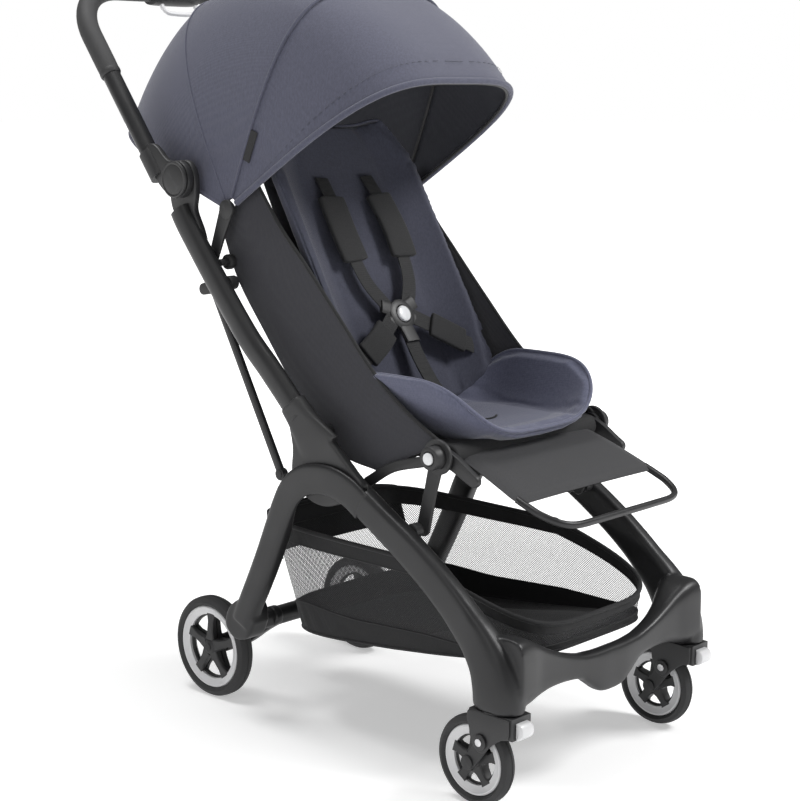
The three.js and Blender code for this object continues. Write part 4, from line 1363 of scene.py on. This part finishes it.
def dish(theta, r):
    """The seat liner is a shallow bowl: a point at a turn about its middle and a share of the way to its rim."""
    c, s = math.cos(theta), math.sin(theta)
    x = 151 * math.copysign(abs(c) ** 0.42, c)
    y = -92 + (104 if s > 0 else 134) * math.copysign(abs(s) ** 0.5, s)
    # High at the hips, low in front of the knees and low against the backrest.
    side = abs(c) ** 1.3
    rim = 464 + 76 * side ** 1.25
    rise = max(0.0, (r - 0.66) / 0.34) ** 1.7
    roll = 3.0 * math.exp(-(((r - 0.66) / 0.03) ** 2))
    z = 459 - 5 * math.cos(math.pi * r / 2) + (rim - 459) * rise - roll
    return np.array([x * r, -92 + (y + 92) * r, z])


def dish_under(theta, r, thick):
    """The bowl's lower face, off its upper one along the surface's own normal."""
    across = dish(theta + 0.02, r) - dish(theta - 0.02, r)
    out = dish(theta, r + 0.01) - dish(theta, r - 0.01)
    normal = np.cross(out, across)
    return dish(theta, r) - normal / max(np.linalg.norm(normal), 1e-9) * thick


def seat_cushion():
    """The bowl is a fan of rings from its middle to its rim, closed by a like fan below it."""
    count, rings = 72, 16
    verts, faces = [], []
    for thick in (0.0, 10.0):
        verts.append(dish(0.0, 0.0) - np.array([0, 0, thick]))
        for j in range(1, rings + 1):
            for i in range(count):
                verts.append(dish_under(2 * math.pi * i / count, j / rings, thick))
    half = 1 + rings * count
    for base in (0, half):
        for i in range(count):
            faces.append((base, base + 1 + i, base + 1 + (i + 1) % count))
            for j in range(rings - 1):
                a = base + 1 + j * count
                faces.append((a + i, a + count + i, a + count + (i + 1) % count, a + (i + 1) % count))
    last = 1 + (rings - 1) * count
    for i in range(count):
        k = (i + 1) % count
        faces.append((last + i, half + last + i, half + last + k, last + k))
    pad = piece("seat_liner", (verts, faces), LINER, "seat", ("seat_cushion",), 80)
    swell(pad, 3.0, 0.004, 0.004)
    rim = [
        (
            dish(2 * math.pi * i / 120, 0.985) + dish_under(2 * math.pi * i / 120, 0.985, 10.0)
        ) / 2 + np.array([0, 0, 0.5])
        for i in range(120)
    ]
    flatten(pad)
    piping = piece(
        "seat_liner_piping",
        sweep(rim, ring(6, 6, 2, 10), (0, 0, 1), closed=True),
        LINER,
        "seat",
        (),
        60,
    )
    flatten(piping)
    slot = [(-26, -120, 459.5), (-13, -128, 459.8), (0, -130, 459.8), (13, -128, 459.8), (26, -120, 459.5)]
    piece(
        "seat_strap_slot",
        sweep(spline(slot, 4), ring(3.5, 2, 2, 10), (0, 1, 0)),
        BLACK_CLOTH,
        "seat",
        (),
        50,
    )
    # The black seat base under the liner rolls over the front axis down to the leg rest.
    section = [
        (2, 430), (-60, 428), (-140, 428), (-168, 424), (-186, 421), (-199, 427), (-203, 438), (-196, 450),
        (-178, 452), (-120, 449), (-40, 448), (2, 448),
    ]
    base = slab(spline(section + section[:1], 5)[:-1], -151.5, 151.5, 4)
    piece("seat_base_cloth", base, BLACK_CLOTH, "seat", (), 50)


seat_cushion()


def seat_sides():
    """The dark seat shell: cloth on each side from the canopy's edge along the main tube to the seat's front."""
    front = spline([(172, 790), (124, 724), (76, 673), (10, 603), (-57, 534), (-122, 487), (-186, 455)], 8)
    rear = spline([(238, 708), (206, 640), (150, 568), (98, 505), (48, 455), (-4, 414), (-70, 402)], 8)
    for name, side in SIDES:
        verts = []
        rows = 14
        edge = []
        for j, (f, r) in enumerate(zip(front, rear)):
            k = j / (len(front) - 1)
            for i in range(rows + 1):
                w = i / rows
                y, z = f + (r - f) * w
                bulge = 5.0 * math.sin(math.pi * w) + 1.6 * math.sin(9 * k + 5 * w) * math.sin(math.pi * w)
                x = 163.5 + bulge - 7 * (1 - w) * math.sin(math.pi * k)
                verts.append((x, y, z))
                if i == 0:
                    edge.append((x, y, z))
        faces = grid_faces(len(front), rows + 1)
        cloth = piece(
            f"seat_side_cloth_{name}", sided((verts, faces), side), SHELL, "", (f"seat_side_{name}",),
            70, thick=2.2,
        )
        declare_sheet(cloth)
        lower = [(163.5, *p) for p in (front[-1] * (1 - t) + rear[-1] * t for t in np.linspace(0.1, 1, 7))]
        hem = sweep(edge + lower, ring(5.4, 5.4, 2, 12))
        trim = piece(f"seat_side_hem_{name}", sided(hem, side), BLACK_CLOTH, "", (), 60)
        for soft in (cloth, trim):
            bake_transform(soft)


seat_sides()


# ------------------------------------------------------------------------------------------------------- harness
# Five straps of webbing meet in a round plastic buckle with a pale push button. Soft sleeves pad the shoulders and
# the hips.

def harness():
    """Webbing runs from the shoulders and the hips to the buckle, with a soft pad on each shoulder strap."""
    def strap(points, width, thick, normal):
        path = spline(points, 10)
        return sweep(path, ring(thick, width, 5, 16), normal)

    out_dir = np.array(lean(0, 0, 1)) - np.array(lean(0, 0, 0))
    parts, pads = [], []
    for side in (-1, 1):
        line = [
            lean(side * 46, 350, 24), lean(side * 50, 300, 33), lean(side * 52, 240, 36),
            lean(side * 44, 180, 38), lean(side * 20, 136, 39),
        ]
        parts.append(strap(line, 25, 2.0, tuple(out_dir)))
        pads.append(
            strap(
                [lean(side * 49, 318, 31), lean(side * 53, 260, 37), lean(side * 51, 212, 39)],
                50,
                9,
                tuple(out_dir),
            )
        )
        hips = [
            lean(side * 122, 60, 44),
            lean(side * 92, 74, 46),
            lean(side * 50, 100, 44),
            lean(side * 20, 120, 40),
        ]
        parts.append(strap(hips, 25, 2.0, tuple(out_dir)))
        pads.append(
            strap(
                [lean(side * 104, 68, 47), lean(side * 72, 86, 48), lean(side * 46, 103, 46)],
                40,
                8,
                tuple(out_dir),
            )
        )
    piece("harness_webbing", together(*parts), WEBBING, "backrest", ("harness_straps",), 50)
    piece("harness_pads", together(*pads), BLACK_CLOTH, "backrest", (), 60, levels=1)
    crotch = strap(
        [(0, 26, 566), (0, 2, 528), (0, -26, 494), (0, -52, 476), (0, -78, 468)], 27, 3, (0, -0.8, 0.6)
    )
    piece("crotch_strap", crotch, WEBBING, "backrest", (), 50)
    axis = Vector((0, -0.9, 0.44))
    centre = (0, 40, 590)
    shell = turned(
        [
            (0.01, -6), (18, -6), (23, -3.5), (24, 0), (23, 3.6), (19, 5.6), (14.2, 5.8), (13.2, 4.6),
            (13.2, 0.6), (0.01, 0.6),
        ],
        centre,
        axis,
        closed=False,
    )
    ears = []
    for side in (-1, 1):
        for dz, w in ((13, 13), (-9, 12)):
            a = np.array(centre) + np.array([side * 14, 0, 0]) + np.array([0, 0.44, 0.9]) * dz * 0.7
            b = np.array(centre) + np.array([side * 34, 0, 0]) + np.array([0, 0.44, 0.9]) * dz * 1.3
            ears.append(sweep([a, (a + b) / 2, b], ring(7, w * 1.6, 3, 16), tuple(axis)))
    low = np.array(centre)
    tongue = sweep(
        [low + np.array([0, -8, -14]), low + np.array([0, -16, -24]), low + np.array([0, -25, -36])],
        ring(7, 26, 3.2, 16),
        tuple(axis),
    )
    piece("buckle_shell", together(shell, *ears, tongue), PLASTIC, "backrest", ("harness_buckle",), angle=40)
    press = turned(
        [(0.01, 4.2), (10.8, 4.2), (12, 5.2), (12, 7.6), (11, 8.8), (8, 9.4), (0.01, 9.7)],
        centre,
        axis,
        closed=False,
    )
    piece("buckle_press_button", press, WHITE, "buckle_button", ("buckle_button",), 40)


harness()


# -------------------------------------------------------------------------------------------------------- basket
# A soft tub hung from the frame: black cloth below, knitted netting above it and a black band along the rim, with
# bindings at the seams and a pocket at the back.

def netting():
    """Knitted mesh: round holes in offset rows, laid out on the sheet's own grid in metres."""
    material, tree, shade = nodes_of("basket_netting")
    place = tree.nodes.new("ShaderNodeUVMap")
    turn = node(tree, "ShaderNodeMapping")
    turn.inputs["Rotation"].default_value = (0, 0, math.radians(45))
    link(tree, place.outputs["UV"], turn.inputs["Vector"])
    waves = []
    for direction in ("X", "Y"):
        wave = node(
            tree, "ShaderNodeTexWave", Scale=0.314 / 0.0024, Distortion=0.4, Detail=1.0,
            bands_direction=direction,
        )
        link(tree, turn.outputs[0], wave.inputs["Vector"])
        waves.append(wave.outputs["Fac"])
    both = node(tree, "ShaderNodeMath", operation="MULTIPLY")
    link(tree, waves[0], both.inputs[0])
    link(tree, waves[1], both.inputs[1])
    holes = node(tree, "ShaderNodeMapRange", From_Min=0.09, From_Max=0.2, To_Min=0.0, To_Max=1.0)
    link(tree, both.outputs[0], holes.inputs["Value"])
    shade.inputs["Base Color"].default_value = (0.03, 0.03, 0.032, 1)
    shade.inputs["Roughness"].default_value = 0.7
    height = node(tree, "ShaderNodeBump", Strength=0.5, Distance=0.0004)
    link(tree, both.outputs[0], height.inputs["Height"])
    link(tree, height.outputs[0], shade.inputs["Normal"])
    clear = tree.nodes.new("ShaderNodeBsdfTransparent")
    out = tree.nodes.new("ShaderNodeMixShader")
    link(tree, holes.outputs[0], out.inputs[0])
    link(tree, shade.outputs[0], out.inputs[1])
    link(tree, clear.outputs[0], out.inputs[2])
    link(tree, out.outputs[0], tree.nodes["Material Output"].inputs["Surface"])
    return material


NETTING = netting()


def tub(t, w, grow=0.0):
    """A point of the basket's wall: t goes round it from the right side, w from 0 at the floor to 1 at the rim."""
    a = 2 * math.pi * t
    c, s = math.cos(a), math.sin(a)
    px, py = math.copysign(abs(c) ** 0.4, c), math.copysign(abs(s) ** 0.4, s)
    rear, front = 142 + 62 * w, -318 - 4 * w
    x = (150 + 5 * w + grow) * px
    y = (rear + front) / 2 + ((rear - front) / 2 + grow) * py
    along = (y - front) / (rear - front)
    floor = 184 - 52 * along - 6 * math.sin(math.pi * along)
    rim = 220 + 72 * min(1.0, max(0.0, (y + 322) / 200)) ** 0.8
    z = floor + (rim - floor) * w - 5 * math.sin(math.pi * along) * w * (1.0 - 0.3 * abs(py))
    return (x, y, z)


def tub_wall(low, high, rows, grow=0.0, count=144, ripple=0.0):
    """A band of the wall between two heights, each a number or a function of t."""
    verts = []
    for j in range(rows + 1):
        for i in range(count):
            t = i / count
            a, b = (f(t) if callable(f) else f for f in (low, high))
            k = j / rows
            wave = ripple * math.sin(64 * math.pi * t + 2 * k) * math.sin(math.pi * k)
            verts.append(tub(t, a + (b - a) * k, grow + wave))
    return verts, grid_faces(rows + 1, count, False, True)


def basket():
    """A soft tub: black cloth below, a band of netting, and a black band hung from the frame along the rim."""
    def shoulder(t):
        return 0.22 + 0.08 * math.sin(6 * math.pi * t) * math.cos(2 * math.pi * t) ** 2

    def collar(t):
        return 0.85 - 0.2 * max(0.0, -math.sin(2 * math.pi * t)) ** 1.5

    cloth = piece(
        "basket_lower_cloth", tub_wall(0.0, shoulder, 8, 0, 144, 0.6), BLACK_CLOTH, "front_frame", ("basket",),
        70, thick=2.0,
    )
    declare_sheet(cloth)
    verts, faces = tub_wall(shoulder, collar, 10, 0, 288, 0.5)
    net = piece("basket_netting_band", (verts, faces), NETTING, "front_frame", (), 70)
    layer = net.data.uv_layers.new(name="grid")
    for polygon in net.data.polygons:
        for loop, v in zip(polygon.loop_indices, polygon.vertices):
            p = net.data.vertices[v].co
            # The long walls are read along Y and the short ones along X, so that the holes stay square.
            side = abs(polygon.normal.x) > abs(polygon.normal.y)
            layer.data[loop].uv = ((p.y if side else p.x), p.z)
    declare_sheet(net)
    top = piece(
        "basket_rim_band", tub_wall(collar, 1.0, 5, 0, 144, 0.4), BLACK_CLOTH, "front_frame", (),
        70, thick=2.4,
    )
    declare_sheet(top)
    edge = [tub(i / 144, 0.0) for i in range(144)]
    rows = [
        [(x * k, -85 + (y + 85) * k, z - 4 * (1 - k)) for x, y, z in edge]
        for k in (1.0, 0.8, 0.6, 0.4, 0.2, 0.02)
    ]
    base = piece(
        "basket_floor", skin(rows, caps=False), BLACK_CLOTH, "front_frame", (), 70, thick=3
    )
    declare_sheet(base)
    pocket_line = [(-0.12 + 0.24 * i / 20) for i in range(21)]
    verts = []
    for j in range(9):
        k = j / 8
        for q in pocket_line:
            puff = 14 * math.sin(
                math.pi * min(1, max(0, (q + 0.12) / 0.24))
            ) ** 0.6 * math.sin(math.pi * (0.25 + 0.6 * k)) ** 0.8
            verts.append(tub(0.25 + q, 0.62 + 0.4 * k, puff + 2))
    faces = grid_faces(9, 21)
    pocket = piece(
        "basket_rear_pocket", (verts, faces), BLACK_CLOTH, "front_frame", (), 70, thick=2.4
    )
    declare_sheet(pocket)
    soft = [cloth, net, top, base, pocket]
    for name, w, r in (
        ("basket_rim_binding", 1.0, 3.4),
        ("basket_collar_binding", collar, 1.7),
        ("basket_shoulder_binding", shoulder, 1.5),
        ("basket_floor_binding", 0.01, 2.4),
    ):
        loop = [tub(i / 180, w(i / 180) if callable(w) else w) for i in range(180)]
        soft.append(
            piece(
                name,
                sweep(loop, ring(2 * r, 2 * r, 2, 10), (0, 0, 1), closed=True),
                BLACK_CLOTH,
                "front_frame",
                (),
                60,
            )
        )
    for obj in soft:
        flatten(obj)


basket()
